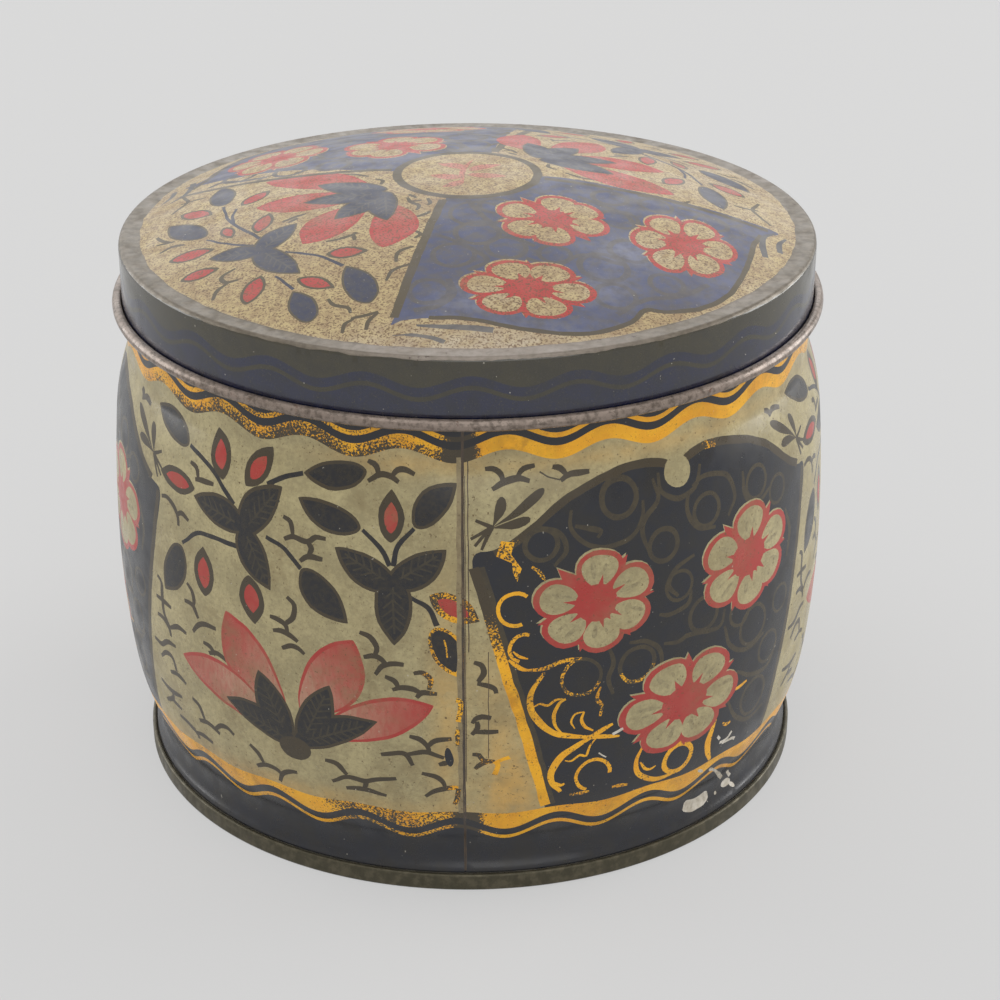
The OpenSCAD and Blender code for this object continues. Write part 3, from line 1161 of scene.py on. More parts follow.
    # Course, width and brightness of each trace of gilding
    SEAM_GOLD = (
        (((-3.1, 50.8), (-2.1, 50.2), (-2.3, 47.5), (-2.7, 45.4)), 1.1, 0.62),
        (((-2.8, 43.6), (-3, 41.4), (-2.7, 39.4)), 0.9, 0.4),
        (((-2.6, 28), (-3, 25.6), (-3.6, 23.4)), 1.2, 0.36),
        (((-5.4, 65), (-5, 62.8), (-4.7, 60.8)), 0.35, 0.8),
    )
    STRAY_GOLD = (
        (((5, 35.2), (5.5, 34), (5, 31.7)), 1.1, 0.6), (((5.5, 35), (8.2, 36)), 0.8, 0.6),
        (((14.8, 100.2), (17.1, 99), (19.6, 98.3)), 0.3, 0.0),
    )

    @property
    def end(self) -> float:
        """Where the flat print ends, once round."""
        return self.start + TIN.turn_length

    def wave(self, u: np.ndarray | float) -> np.ndarray | float:
        """Height of the borders' wave, from -1 to 1."""
        return np.cos(FULL_TURN * (u - self.crest) * self.waves / TIN.turn_length)

    def wrapped(self, u: float) -> float:
        """A length round the tin as one to the right or left of the front."""
        half = TIN.turn_length / 2
        return (u + half) % (2 * half) - half

    def top_glow(self, u: float, z: float) -> float:
        """Brightness of the upper border's gilding, which has worn most along its lower edge.

        Args:
            u: Length round the tin.
            z: Height.

        Returns:
            The brightness.
        """
        low, high = self.TOP_BANDS[0]
        glow = float(np.interp(self.wrapped(u), *self.TOP_GLOW))
        worn = min(1.0, max(0.0, (0.95 - glow) / 0.3))
        depth = min(1.0, max(0.0, (z - low[0] - low[1] * float(self.wave(u))) / (high[0] - low[0])))
        return glow * (1 + worn * (0.9 * depth - 0.55))

    def foot_glow(self, u: float, _z: float) -> float:
        """Brightness of the lower border's gilding."""
        return float(np.interp(self.wrapped(u), *self.FOOT_GLOW))

    def brown_glow(self, u: float, z: float) -> float:
        """Brightness that the places with fresh gilding add."""
        return sum(spot.at(self.wrapped(u), z) for spot in self.SPOTS)

    def stain(self, u: float, z: float) -> float:
        """Yellow stain of the cream at a place."""
        return sum(spot.at(self.wrapped(u), z) for spot in self.STAINS)

    def draw_bands(self, pen: Pen, bands: Iterable[tuple[Point, Point]], ink: Ink, glow: Glow = 0.0) -> None:
        """Draws wavy bands once round.

        Args:
            pen: Pen to draw with.
            bands: Height and wave depth of each one's lower edge, and of its upper edge.
            ink: Ink to draw with.
            glow: Brightness of gilding.
        """
        u = np.arange(self.start - 4, self.end + 4, 1.1)
        for edges in bands:
            low, high = (height + depth * self.wave(u) for height, depth in edges)
            pen.fill(strip(u, low, high), ink, glow, steady=True)

    def draw_panel(self, pen: Pen, bright: float) -> None:
        """Draws one navy panel with its edge lines, scrolls and rosettes.

        Args:
            pen: Pen at the repeat's place.
            bright: How much of the scrolls' gilding is left.
        """
        edge = np.array(self.PANEL_EDGE)
        pen.fill(smooth_line(edge, 1.4), Ink.NAVY)
        left, top, right = edge[1:7], edge[8:15] - (0, 0.9), edge[22:28] - (0.9, 0)
        pen.stroke(left + (1.2, 0), 2.6, Ink.DULL, step=1.2)
        glow = self.EDGE_GLOW
        pen.stroke(left + (0.2, 0), 2.2, gilt=lambda _u, z: bright * float(np.interp(z, *glow)), step=1.0)
        for line, width in ((top, 1.7), (top * (-1, 1) + (2 * self.panel_mid, 0), 1.7), (right, 1.5)):
            pen.stroke(line, width, step=1.2)
        for centre, radius, width in self.DULL_RINGS:
            pen.ring(centre, radius, width, ink=Ink.DULL)
        for points in self.DULL_SCROLLS:
            pen.stroke(points, lambda t: 0.7 + 0.5 * math.sin(math.pi * t), Ink.DULL, step=0.9)
        for points in self.SPECKLED_SCROLLS:
            pen.stroke(points, lambda t: 0.55 + 0.4 * math.sin(math.pi * t), gilt=0.55 * bright)
        for points, width in self.BRIGHT_SCROLLS:
            pen.stroke(points, lambda t, w=width: w * (0.5 + 0.6 * math.sin(math.pi * t)), gilt=0.86 * bright)
        for centre, radius, width, gilt, arc in self.BRIGHT_RINGS:
            pen.ring(centre, radius, width, gilt * bright, arc)
        pen.fill(self.FLAME, Ink.GILT, 0.66 * bright)
        pen.blob((self.panel_mid, 95.6), (7.0, 6.8), Ink.CREAM)
        for rosette in self.ROSETTES:
            rosette.draw(pen)

    def draw_pale(self, pen: Pen) -> None:
        """Draws one cream panel: leaves, buds, lotus and filling marks.

        Args:
            pen: Pen at the repeat's place.
        """
        draw_marks(pen, self.MARKS, 1.22)
        mirrored = self.PLUME.mirrored(self.panel_mid)
        for motif in (self.PLUME, mirrored, *self.STEMS, *self.BUDS, *self.PETALS):
            motif.draw(pen)
        for leaves, veined in ((self.LEAVES, False), (self.TREFOILS, True), (self.LOTUS_LEAVES, True)):
            draw_leaves(pen, leaves, veined)
        pen.blob((-39.7, 33.0), (8.0, 6.0), Ink.GILT)

    def draw(self) -> list[Patch]:
        """Draws the whole print.

        Returns:
            The outlines in painter's order. The first is the cream ground.
        """
        pen = Pen()
        ends = np.array([self.start, self.end])
        pen.fill(strip(ends, TIN.seam_h, TIN.mouth_start), Ink.CREAM, steady=True)
        for k, bright in enumerate(self.BRIGHT, -1):
            pen.shift = (k * TIN.turn_length / self.repeats, 0.0)
            self.draw_panel(pen, bright)
            self.draw_pale(pen)
        pen.shift = (0.0, 0.0)
        self.draw_bands(pen, self.NAVY_BANDS, Ink.NAVY)
        self.draw_bands(pen, self.FOOT_BANDS, Ink.GILT, self.foot_glow)
        self.draw_bands(pen, self.TOP_BANDS, Ink.GILT, self.top_glow)
        self.draw_chips(pen)
        self.draw_seam(pen)
        return pen.patches

    def draw_chips(self, pen: Pen) -> None:
        """Draws chips and scratches.

        Args:
            pen: Pen to draw with.
        """
        pen.wobble = 0.5
        for points, width in self.CHIP_LINES:
            pen.stroke(points, width, Ink.CHIP)
        for centre, size, turn in self.CHIP_SPOTS:
            pen.blob(centre, size, Ink.CHIP, turn)

    def draw_seam(self, pen: Pen) -> None:
        """Draws the dirty strip left of the side seam, the dark lines along it and the gold beside it.

        Args:
            pen: Pen to draw with.
        """
        pen.wobble = 0.3
        low, high = 21.0, 104.0
        left = smooth_line([(self.end - 1.25, z) for z in (low, 40, 60, 80, high)], 1.5)
        pen.fill([*left, (self.end + 1, high), (self.end + 1, low)], Ink.RUST)
        pen.wobble = 0.12
        for aside, bottom, top, width in self.SEAM_LINES:
            mid = aside + (self.start if aside > 0 else self.end)
            pen.stroke([(mid, z) for z in np.linspace(bottom, top, 5)], width, Ink.LINE, step=1.6)
        pen.wobble = 0.4
        pen.shift = (TIN.turn_length, 0.0)
        for points, width, gilt in self.SEAM_GOLD:
            pen.stroke(points, width, gilt=lambda _u, _z, glow=gilt: glow)
        pen.blob((-4.6, 36.4), (1.6, 4.6), Ink.NAVY, 8)
        pen.shift = (0.0, 0.0)
        for points, width, gilt in self.STRAY_GOLD:
            pen.stroke(points, width, gilt=gilt)


@dataclass
class LidArt:
    """Flat print of the lid's dome, seen from above: two cream and two navy fields round a medallion.

    Attributes:
        print_r: Radius of the print.
        medal_r: Radius of the medallion.
        medal_ring: Width of the ring round it.
    """

    print_r: float = 73.0
    medal_r: float = 16.6
    medal_ring: float = 2.0

    NAVY_FIELD = (
        (-4.2, -14), (-14.8, -62.8), (-15.7, -65.4), (-13.6, -64.2), (-8, -63.8), (0, -64.4), (10, -67),
        (20, -67.8), (27, -66), (33, -61.9), (36, -57.4), (40, -57), (47, -54), (53, -48), (57, -40),
        (60, -30), (62, -21), (64.4, -14.6), (68.4, -10.5), (58, -7.6), (40, -5), (15, -1.6),
    )
    BACK_FIELD = (
        (5.2, 14.2), (9.6, 40), (14, 66.4), (8, 66), (0, 65), (-10, 67), (-20, 67.8), (-27, 66.2),
        (-33, 61.8), (-36, 57.4), (-40, 57), (-47, 54), (-53, 48), (-56.4, 41), (-59.4, 32), (-61.4, 25),
        (-65.4, 21.6), (-55, 19), (-40, 14), (-14, 2.4),
    )
    ROSETTES = (
        Rosette((18, -25.2), (25, 24.5), (80, 36, -16, -90, -139, -203), (8.6, 8.4)),
        Rosette((46, -28.8), (23, 28.5), (76, 16, -44, -104, -164, -224), (8.4, 9.6), -14),
        Rosette((12.2, -53.8), (28, 20.5), (112, 59, -3, -67, -127, -188), (10.4, 6.8)),
    )
    LEAVES = (
        Leaf((-54.3, -2.7), (-55.7, 11.8), 6.2), Leaf((-56.8, -18.8), (-66, -6.6), 6.6, 0.4),
        Leaf((-20, -57.8), (-25.2, -43.6), 7, -0.3), Leaf((-31.8, -61.6), (-36, -50.2), 5.9, -0.3),
    )
    TREFOIL = (
        Leaf((-44.6, -33), (-36.6, -21.6), 7, 0.5), Leaf((-43, -32.4), (-55.2, -30.2), 6.4, -0.5),
        Leaf((-44.8, -30.4), (-34.8, -44.2), 7, -0.7),
    )
    BUDS = (
        ((-60, -4), 9.6, 5, -38), ((-47, -2.2), 8.8, 4.8, 48), ((-51.8, -19.5), 7, 3.4, -70),
        ((-44.2, -18.4), 9.8, 4.6, 78), ((-59, -26.3), 10, 5, 2), ((-56.5, -36), 8.4, 4.6, 10),
        ((-25.2, -38.2), 8.8, 4.8, -2), ((-44.3, -47), 10.3, 5, 74), ((-31.3, -48.5), 9.5, 4.4, -34),
    )
    BUD_EDGE = 0.58
    STEMS = (
        Stem(((-54.1, -3.6), (-51.6, -14), (-44, -26.6)), 0.8),
        Stem(((-50.8, -6.6), (-51.4, -10.4), (-51, -15)), 0.7),
        Stem(((-56.4, -20.6), (-51.3, -25.3), (-45.2, -29)), 0.7),
        Stem(((-38.4, -34.2), (-31, -38.4), (-25.8, -43.4)), 0.8),
        Stem(((-40, -43.6), (-37.8, -46.6), (-35.8, -49.6)), 0.7),
    )
    PETALS = (
        Petal((-21, -8), (-45.4, 7.8), 10.5, -1.6, (0, 0), (0.18, 0.55)),
        Petal((-22, -12), (-46.4, -9), 10, 0.6, (0, 0), (0.18, 0.55)),
        Petal((-22, -17), (-34.8, -32.2), 11, -0.8, (0, 0), (0.18, 0.55)),
        Petal((-17, -17), (-17.6, -37.8), 10.5, 1.8, (0, 0), (0.18, 0.55)),
    )
    LOTUS_LEAVES = (
        Leaf((-17.6, -9.6), (-33.4, -1.2), 7.2, 0.7), Leaf((-17.2, -11.4), (-35.9, -11.2), 7, 0.3),
        Leaf((-17, -12), (-28.6, -22.6), 7.6, -0.3), Leaf((-18, -10.2), (-17.2, -26), 7, -0.9),
    )
    # Course of each small filling mark
    MARKS = (
        ((-11.3, -38.1), (-14.5, -40), (-14.9, -43.9)), ((-11.9, -44.9), (-15.5, -46.9), (-16.8, -50.5)),
        ((-28.6, -54.7), (-27.3, -57), (-24.3, -58.6), (-23.8, -60.2)),
        ((-23.7, -61.9), (-21.1, -61.6), (-18.1, -60.6)), ((-25.3, -66.1), (-24.7, -63.5), (-23, -62.1)),
        ((-18.1, -60.9), (-20.1, -63.5), (-20.4, -66.1)),
        ((-29.9, -32.5), (-26.9, -32.2), (-24.3, -30.9), (-23.7, -29.9)), ((-24.3, -30.9), (-23.8, -33.5)),
        ((-13.2, -14.6), (-12.3, -17.2), (-10.6, -19.2), (-11, -21.8)), ((-11.9, -16.9), (-10, -16.5)),
        ((-8.7, -15.6), (-8, -18.2), (-8.7, -19.5)), ((-11.3, -25.3), (-9.3, -24), (-8, -22.7)),
        ((-11.9, -30.9), (-10, -32.9), (-11.3, -34.5)),
        ((-65.8, 15), (-64.1, 10.8), (-63.3, 7.5), (-65.3, 3.3), (-66.2, 1.3)),
        ((-64.9, 7.1), (-61.6, 7.5), (-59.1, 7.1)), ((-68.3, -11.3), (-67, -13.8), (-64.9, -16.3)),
        ((-67.8, -15.8), (-63.7, -16.7)), ((-66.6, -20.8), (-64.1, -19.2), (-61.2, -20)),
        ((-48.7, -37.1), (-51.6, -39.6), (-50.3, -42.1), (-47.8, -42.1)),
        ((-49.9, -42.5), (-52, -44.6), (-52.8, -47.5)), ((-39.9, -20), (-37, -18.3), (-34.9, -17.5)),
        ((-38.7, -20.8), (-36.6, -19.2)), ((-27.8, 4.2), (-24.9, 2.9), (-22, 0.4)),
        ((-20.3, -1.7), (-18.7, -3.3), (-19.1, -5.8)), ((-12.8, -12.9), (-11.2, -15)),
        ((-48.3, 10.4), (-46.2, 12.5), (-43.7, 12.9)), ((-39, 11.3), (-36.2, 11.7)),
    )
    # Centre, radius and line width of each ring
    DULL_RINGS = (
        ((2, -33), 4.6, 1), ((-3, -42), 4.4, 0.9), ((8, -39), 4.2, 0.9), ((28, -44), 5, 1.1),
        ((34, -36), 4.4, 1), ((31, -11), 3.8, 0.9), ((41, -11.4), 3.6, 0.8), ((6, -20), 3.6, 0.8),
        ((-8, -55), 4, 0.9), ((30, -54), 4.2, 0.9), ((53, -15), 3.6, 0.8), ((18, -40.6), 3.4, 0.8),
        ((41, -47), 3.6, 0.8), ((2, -24), 5.8, 0.7), ((32.5, -22), 4.2, 0.8),
    )
    DULL_SCROLLS = (
        ((-6, -34), (-1, -38), (4, -44), (0, -48)), ((12, -43), (18, -45), (24, -40), (32, -42)),
        ((24, -12), (29, -16), (34, -19), (36, -25)), ((30, -60), (36, -54), (44, -50), (50, -44)),
        ((0, -17), (4, -27), (8, -33), (14, -38)), ((46, -10), (52, -11), (57, -14), (60, -12)),
        ((-11, -61), (-6, -60), (-3, -56), (-4, -51)),
    )
    # Course and width of each loose stroke
    MARGIN_STROKES = (
        (((67.6, -11.2), (64.8, -15), (63.8, -20), (63.9, -25.6)), 1.9),
        (((69.8, -12.4), (68, -16.4), (67.6, -21.4)), 1.6),
        (((-10.4, -65.8), (-5, -66.4), (0, -66.9), (5, -67.6)), 2.2),
        (((-12.6, -68.6), (-8.4, -69.2), (-4.8, -71)), 1.4),
        (((-15.2, -68.5), (-12, -68.3), (-9.8, -68.7)), 0.7),
    )
    # Places of painted sheen: reflected light painted in as paler colour on the lid's print and bare ring
    PAINTED_SHEEN_SPOTS = (
        SoftSpot((6, -73.5), (34, 8), 0.95), SoftSpot((58, -46), (16, 12), 0.3),
        SoftSpot((0, -58), (9, 5.5), 0.5), SoftSpot((27, -52), (8, 7), 0.5),
        SoftSpot((33, -37), (9, 6), 0.6), SoftSpot((-20, 58), (30, 14), 0.3),
        SoftSpot((60, 30), (14, 26), 0.35),
    )
    EDGE_LINES = (
        (((-5.3, -16.8), (-9.9, -38.8), (-14.9, -63)), 1.9), (((17, -2.9), (40, -6.1), (66, -10.8)), 1.6),
    )
    # Base, tip, width and bend of each blade of the medallion's sprig
    SPRIG = (
        ((-1, -6), (1.6, 9.6), 1.4, 1.2), ((0.4, 1), (7.6, 5.8), 3.4, 0.6),
        ((0, -1.6), (8.6, -2.4), 3.2, -0.4), ((-0.2, 2.4), (-6.6, 6.4), 3.4, -0.6),
        ((-0.8, -3.4), (-8.2, -1.6), 3.4, 0.5), ((-1, -5.6), (-5.6, -9.6), 2.8, 0.4),
    )
    SPRIG_FADE = ((40.0, 0.0), (10.0, 0.0))
    # Turn of the navy field, the cream field and the loose strokes of each half
    HALF_TURNS = ((0, 0, 0), (177, 187, 180))
    LEAF_EDGE = 0.5

    def painted_sheen(self, x: float, y: float) -> float:
        """Strength of the painted sheen at a place, where reflected light is painted into the lid's colours.
        """
        return sum(spot.at(x, y) for spot in self.PAINTED_SHEEN_SPOTS)

    def draw_navy(self, pen: Pen) -> None:
        """Draws the scrolls, edge lines and rosettes of a navy field.

        Args:
            pen: Pen to draw with.
        """
        for centre, radius, width in self.DULL_RINGS:
            pen.ring(centre, radius, width + 0.3, ink=Ink.DULL)
        for points in self.DULL_SCROLLS:
            pen.stroke(points, 1.3, Ink.DULL, step=0.9)
        for points, width in self.EDGE_LINES:
            pen.stroke(points, width, step=1.6)
        pen.stroke(0.997 * np.array(self.NAVY_FIELD[4:18]), 1.2, step=1.4)
        for rosette in self.ROSETTES:
            rosette.draw(pen)

    def draw_pale(self, pen: Pen) -> None:
        """Draws the leaves, buds, lotus and filling marks of a cream field.

        Args:
            pen: Pen to draw with.
        """
        draw_marks(pen, self.MARKS, 0.92)
        buds = (bud_at(*bud, edge=self.BUD_EDGE) for bud in self.BUDS)
        for motif in (*self.STEMS, *self.PETALS, *buds):
            motif.draw(pen)
        for leaves, veined in ((self.LEAVES, False), (self.TREFOIL, True), (self.LOTUS_LEAVES, True)):
            draw_leaves(pen, [replace(leaf, edge=self.LEAF_EDGE) for leaf in leaves], veined)

    def draw_margin(self, pen: Pen) -> None:
        """Draws the loose strokes outside a navy field."""
        for points, width in self.MARGIN_STROKES:
            pen.stroke(points, lambda t, w=width: w * (0.25 + 0.9 * t * (1.55 - t)), Ink.VEIN, step=1.1)

    def draw(self, radius: float, corners: int) -> list[Patch]:
        """Draws the whole print.

        Args:
            radius: Radius at which the flat ring ends.
            corners: Corners of that circle.

        Returns:
            The outlines in painter's order. The first is the bare ring.
        """
        pen = Pen(wobble=0.45)
        pen.fill(circle(radius, corners), Ink.TIN, steady=True)
        pen.fill(circle(self.print_r, 180), Ink.CREAM)
        pen.wobble = Pen.wobble
        for outline in (self.NAVY_FIELD, self.BACK_FIELD):
            pen.fill(smooth_line([*outline, outline[0]], 1.6)[:-1], Ink.NAVY)
        for turns in self.HALF_TURNS:
            for turn, draw in zip(turns, (self.draw_navy, self.draw_pale, self.draw_margin)):
                pen.turn = turn
                draw(pen)
        pen.turn = 0
        pen.fill(circle(self.medal_r, 72), Ink.GILT)
        pen.fill(circle(self.medal_r - self.medal_ring, 72), Ink.CREAM)
        for base, tip, width, bow in self.SPRIG:
            pen.fill(blade(base, tip, width, bow), Ink.RED, fade=self.SPRIG_FADE)
        return pen.patches


@dataclass
class SkirtArt:
    """Flat print of the lid's skirt, from the corner down: olive over navy, parted and lined by waves.

    Attributes:
        waves: Waves once round.
        corner: How far down the bare corner reaches.
    """

    waves: int = 23
    corner: float = 1.25

    WORN, RAGGED = (0.16, 3.0), (0.9, 9.0)

    def draw(self, start: float, length: float, drop: float) -> list[Patch]:
        """Draws the print.

        Args:
            start: First length round the lid.
            length: Length once round.
            drop: Length of the section from the flat ring to the bead.

        Returns:
            The outlines in painter's order. The first is the navy ground.
        """
        pen = Pen()
        end = start + length
        pen.fill(strip(np.array([start, end]), -drop, 0), Ink.SKIRT, steady=True)
        u = np.arange(start - 4, end + 4, 1.3)
        worn, ragged = (
            np.array([noise.noise(Vector((x * rate, layer, 0.0))) for x in u])
            for rate, layer in (self.WORN, self.RAGGED)
        )
        wave = 1.35 * np.cos(FULL_TURN * (u - 2.0) * self.waves / length)
        for low, high, ink in (
            (wave - 5.9, -0.6, Ink.LINE),
            (wave - 8.9, wave - 7.9, Ink.LINE),
            (-self.corner - 0.35 * worn - 0.22 * ragged, 2.0, Ink.TIN),
            (-drop - 2.0, 0.75 - drop + 0.25 * worn + 0.15 * ragged, Ink.TIN),
        ):
            pen.fill(strip(u, low, high), ink, steady=True)
        return pen.patches


def live(sockets: Iterable[Socket], name: str) -> Socket:
    """The socket of a name that is in use, where a node has several of that name."""
    return next(socket for socket in sockets if socket.name == name and socket.enabled)


class NodeBench:
    """Short calls that add nodes to one tree."""

    CLAMPED = False

    def __init__(self, tree: bpy.types.NodeTree) -> None:
        """Takes the tree to add to."""
        self.tree = tree

    def feed(self, node: bpy.types.Node, given: Given) -> None:
        """Fills a node's inputs.

        Args:
            node: The node.
            given: An output to link or a value to set, by the input's name or number.
        """
        for key, value in given.items():
            socket = node.inputs[key] if isinstance(key, int) else live(node.inputs, key)
            if isinstance(value, bpy.types.NodeSocket):
                self.tree.links.new(value, socket)
            else:
                socket.default_value = value

    def node(self, kind: str, given: Given | None = None, **settings: object) -> bpy.types.Node:
        """Adds a node.

        Args:
            kind: Its type.
            given: What goes into its inputs.
            settings: Its properties.

        Returns:
            The node.
        """
        made = self.tree.nodes.new(kind)
        for key, value in settings.items():
            setattr(made, key, value)
        self.feed(made, given or {})
        return made

    def math(self, operation: str, first: Value, second: Value = 0.0) -> Socket:
        """Adds arithmetic of two values."""
        settings = {"operation": operation, "use_clamp": self.CLAMPED}
        return self.node("ShaderNodeMath", {0: first, 1: second}, **settings).outputs["Value"]


class Bench(NodeBench):
    """Node tree of one finish, with short calls for the nodes that the finishes share.

    Patterns lie in Object coordinates, grain sizes are in millimetres, and sums stay between 0 and 1.
    """

    CLAMPED = True

    def __init__(self, name: str) -> None:
        """Starts a material with a Principled shader.

        Args:
            name: Name of the material.
        """
        self.material = bpy.data.materials.new(name)
        self.material.use_nodes = True
        super().__init__(self.material.node_tree)
        self.tree.nodes.clear()
        self.shader = self.node("ShaderNodeBsdfPrincipled")
        self.node("ShaderNodeOutputMaterial", {"Surface": self.shader.outputs["BSDF"]})
        self.place = self.node("ShaderNodeTexCoord").outputs["Object"]

    def noise(
        self,
        grain: float,
        detail: float = 2.0,
        rough: float = 0.5,
        stretch: Triple = (1.0, 1.0, 1.0),
        shift: float = 0.0,
    ) -> Socket:
        """Cloudy pattern.

        Args:
            grain: Size of its clouds.
            detail: Levels of finer clouds.
            rough: Strength of the finer clouds.
            stretch: Scale along each axis.
            shift: Offset that makes one pattern unlike another.

        Returns:
            Values about 0.5.
        """
        moved = {"Vector": self.place, "Scale": stretch, "Location": (shift, shift * 0.7, shift * 1.3)}
        vector = self.node("ShaderNodeMapping", moved).outputs["Vector"]
        given = {"Vector": vector, "Scale": 1.0 / (grain * MM), "Detail": detail, "Roughness": rough}
        return self.node("ShaderNodeTexNoise", given).outputs["Fac"]

    def step(self, value: Value, low: float, high: float, start: float = 0.0, end: float = 1.0) -> Socket:
        """Soft step from start, at low, to end, at high."""
        given = {"Value": value, "From Min": low, "From Max": high, "To Min": start, "To Max": end}
        return self.node("ShaderNodeMapRange", given, interpolation_type="SMOOTHSTEP").outputs["Result"]

    def blend(self, share: Value, first: Paint, second: Paint) -> Socket:
        """Mixes two colours."""
        made = self.node("ShaderNodeMix", {0: share, "A": first, "B": second}, data_type="RGBA")
        return live(made.outputs, "Result")

    def painted(self, name: str) -> Socket:
        """Value painted on the mesh."""
        return self.node("ShaderNodeAttribute", attribute_name=name).outputs["Fac"]

    def bump(self, height: Socket, depth: float, strength: float) -> None:
        """Raises the surface by a pattern.

        Args:
            height: Pattern.
            depth: Its depth in millimetres.
            strength: Share of it that shows.
        """
        made = self.node("ShaderNodeBump", {"Strength": strength, "Distance": depth * MM, "Height": height})
        self.feed(self.shader, {"Normal": made.outputs["Normal"]})


@dataclass(frozen=True)
class Wear:
    """Age of a printed surface.

    Attributes:
        freckle: Share of the surface with brown freckles.
        freckle_colour: Colour of the freckles.
        grime: Strength of the broad dirt.
        grime_colour: Colour of the dirt.
        shine: Roughness of the varnish.
        grain: Size of the freckles.
        even: Share of the freckles that is found everywhere, and not in patches.
        gloss: Strength of the varnish's reflection.
        nick_colour: Colour of small nicks.
    """

    freckle: float
    freckle_colour: Rgba
    grime: float
    grime_colour: Rgba
    shine: float
    grain: float
    even: float
    gloss: float = 0.5
    nick_colour: Rgba = srgb(188, 182, 168)

    def dress(self, bench: Bench, colour: Paint) -> None:
        """Puts dirt, freckles, nicks, varnish and small dents over a colour.

        Args:
            bench: Material to dress.
            colour: Colour of the print under them.
        """
        cloud = bench.noise(17.0, 3.0, 0.6, shift=1.3)
        dirt = bench.math("MULTIPLY", bench.step(cloud, 0.42, 0.72), self.grime)
        fine = bench.noise(2.6, 4.0, 0.65, shift=4.1)
        dirt = bench.math("MULTIPLY", dirt, bench.step(fine, 0.3, 0.62))
        colour = bench.blend(dirt, colour, self.grime_colour)
        edge = 0.74 - 0.22 * self.freckle
        speck = bench.step(bench.noise(self.grain, 3.0, 0.62, shift=2.2), edge, edge + 0.055)
        where = bench.step(bench.noise(11.0, 2.0, 0.5, shift=6.0), 0.34, 0.62, self.even, 1.0)
        speck = bench.math("MULTIPLY", speck, where)
        colour = bench.blend(bench.math("MULTIPLY", speck, 0.85), colour, self.freckle_colour)
        nick = bench.step(bench.noise(0.8, 1.0, 0.5, shift=12.0), 0.785, 0.81)
        colour = bench.blend(bench.math("MULTIPLY", nick, 0.55), colour, self.nick_colour)
        dulled = bench.noise(6.0, 4.0, 0.6, shift=8.0)
        rough = bench.step(dulled, 0.3, 0.75, self.shine - 0.06, self.shine + 0.14)
        bench.feed(bench.shader, {"Base Color": colour, "Roughness": rough, "Specular IOR Level": self.gloss})
        bench.bump(bench.noise(3.2, 4.0, 0.55, shift=3.0), 0.05, 0.35)


@dataclass(frozen=True)
class Finish:
    """One finish of the tin.

    Attributes:
        name: Material name.
        colour: Main colour.
    """

    name: str
    colour: Rgba

    def make(self) -> Material:
        """Builds the material.

        Returns:
            The material.
        """
        bench = Bench(self.name)
        self.paint(bench)
        return bench.material

    def paint(self, bench: Bench) -> None:
        """Adds the finish's own pattern to a new material."""
        raise NotImplementedError


@dataclass(frozen=True)
class GroundPrint(Finish):
    """A flat ground colour with a second, cloudier tone.

    Attributes:
        tone: Second colour.
        grain: Size of the clouds.
        wear: Age of the surface.
        share: Largest share of the second colour.
        painted_sheen: Colour of painted sheen, mixed in where the painted fade value is raised, if any.
    """

    tone: Rgba
    grain: float
    wear: Wear
    share: float = 0.8
    painted_sheen: Rgba | None = None

    def paint(self, bench: Bench) -> None:
        """Adds clouds, painted sheen and wear.

        Args:
            bench: Material to paint.
        """
        cloud = bench.step(bench.noise(self.grain, 5.0, 0.6, shift=5.5), 0.36, 0.68, 0.0, self.share)
        colour = bench.blend(cloud, self.colour, self.tone)
        # Painted sheen: paler colour where light reflects on the lid, mixed in by the fade value
        if self.painted_sheen is not None:
            uneven = bench.step(bench.noise(3.0, 4.0, 0.65, shift=9.4), 0.3, 0.66, 0.35, 1.0)
            colour = bench.blend(bench.math("MULTIPLY", bench.painted("fade"), uneven), colour, self.painted_sheen)
        self.wear.dress(bench, colour)


@dataclass(frozen=True)
class StainedCream(Finish):
    """Cream ground with cloudy tones, fine mottling and a painted yellow stain.

    Attributes:
        tone: Duller colour of the clouds.
        stain: Colour of the stain.
        wear: Age of the surface.
    """

    tone: Rgba
    stain: Rgba
    wear: Wear

    def paint(self, bench: Bench) -> None:
        """Adds clouds, mottling, stain and wear.

        Args:
            bench: Material to paint.
        """
        cloud = bench.step(bench.noise(9.0, 5.0, 0.62, shift=5.5), 0.34, 0.68, 0.0, 0.75)
        mottle = bench.step(bench.noise(0.9, 4.0, 0.75, shift=0.9), 0.36, 0.7, 0.0, 0.75)
        ground = bench.blend(bench.math("ADD", cloud, mottle), self.colour, self.tone)
        uneven = bench.step(bench.noise(4.0, 4.0, 0.6, shift=3.7), 0.25, 0.6, 0.45, 0.95)
        soaked = bench.math("MULTIPLY", bench.painted("fade"), uneven)
        self.wear.dress(bench, bench.blend(soaked, ground, self.stain))


@dataclass(frozen=True)
class RedPrint(Finish):
    """Red ink that pales where the petal does, with fine pale strokes.

    Attributes:
        pale: Colour where it has paled.
        wear: Age of the surface.
    """

    pale: Rgba
    wear: Wear

    def paint(self, bench: Bench) -> None:
        """Adds paling, pale strokes and wear.

        Args:
            bench: Material to paint.
        """
        streak = bench.noise(1.3, 3.0, 0.6, stretch=(1.6, 1.6, 0.5), shift=1.0)
        fade = bench.math("POWER", bench.painted("fade"), 1.6)
        raised = bench.math("MULTIPLY", fade, bench.step(streak, 0.2, 0.75, 0.6, 1.4))
        soft = bench.step(bench.noise(5.0, 3.0, 0.6, shift=7.7), 0.4, 0.75, 0.0, 0.14)
        share = bench.math("ADD", bench.math("MULTIPLY", raised, 0.92), soft)
        self.wear.dress(bench, bench.blend(share, self.colour, self.pale))


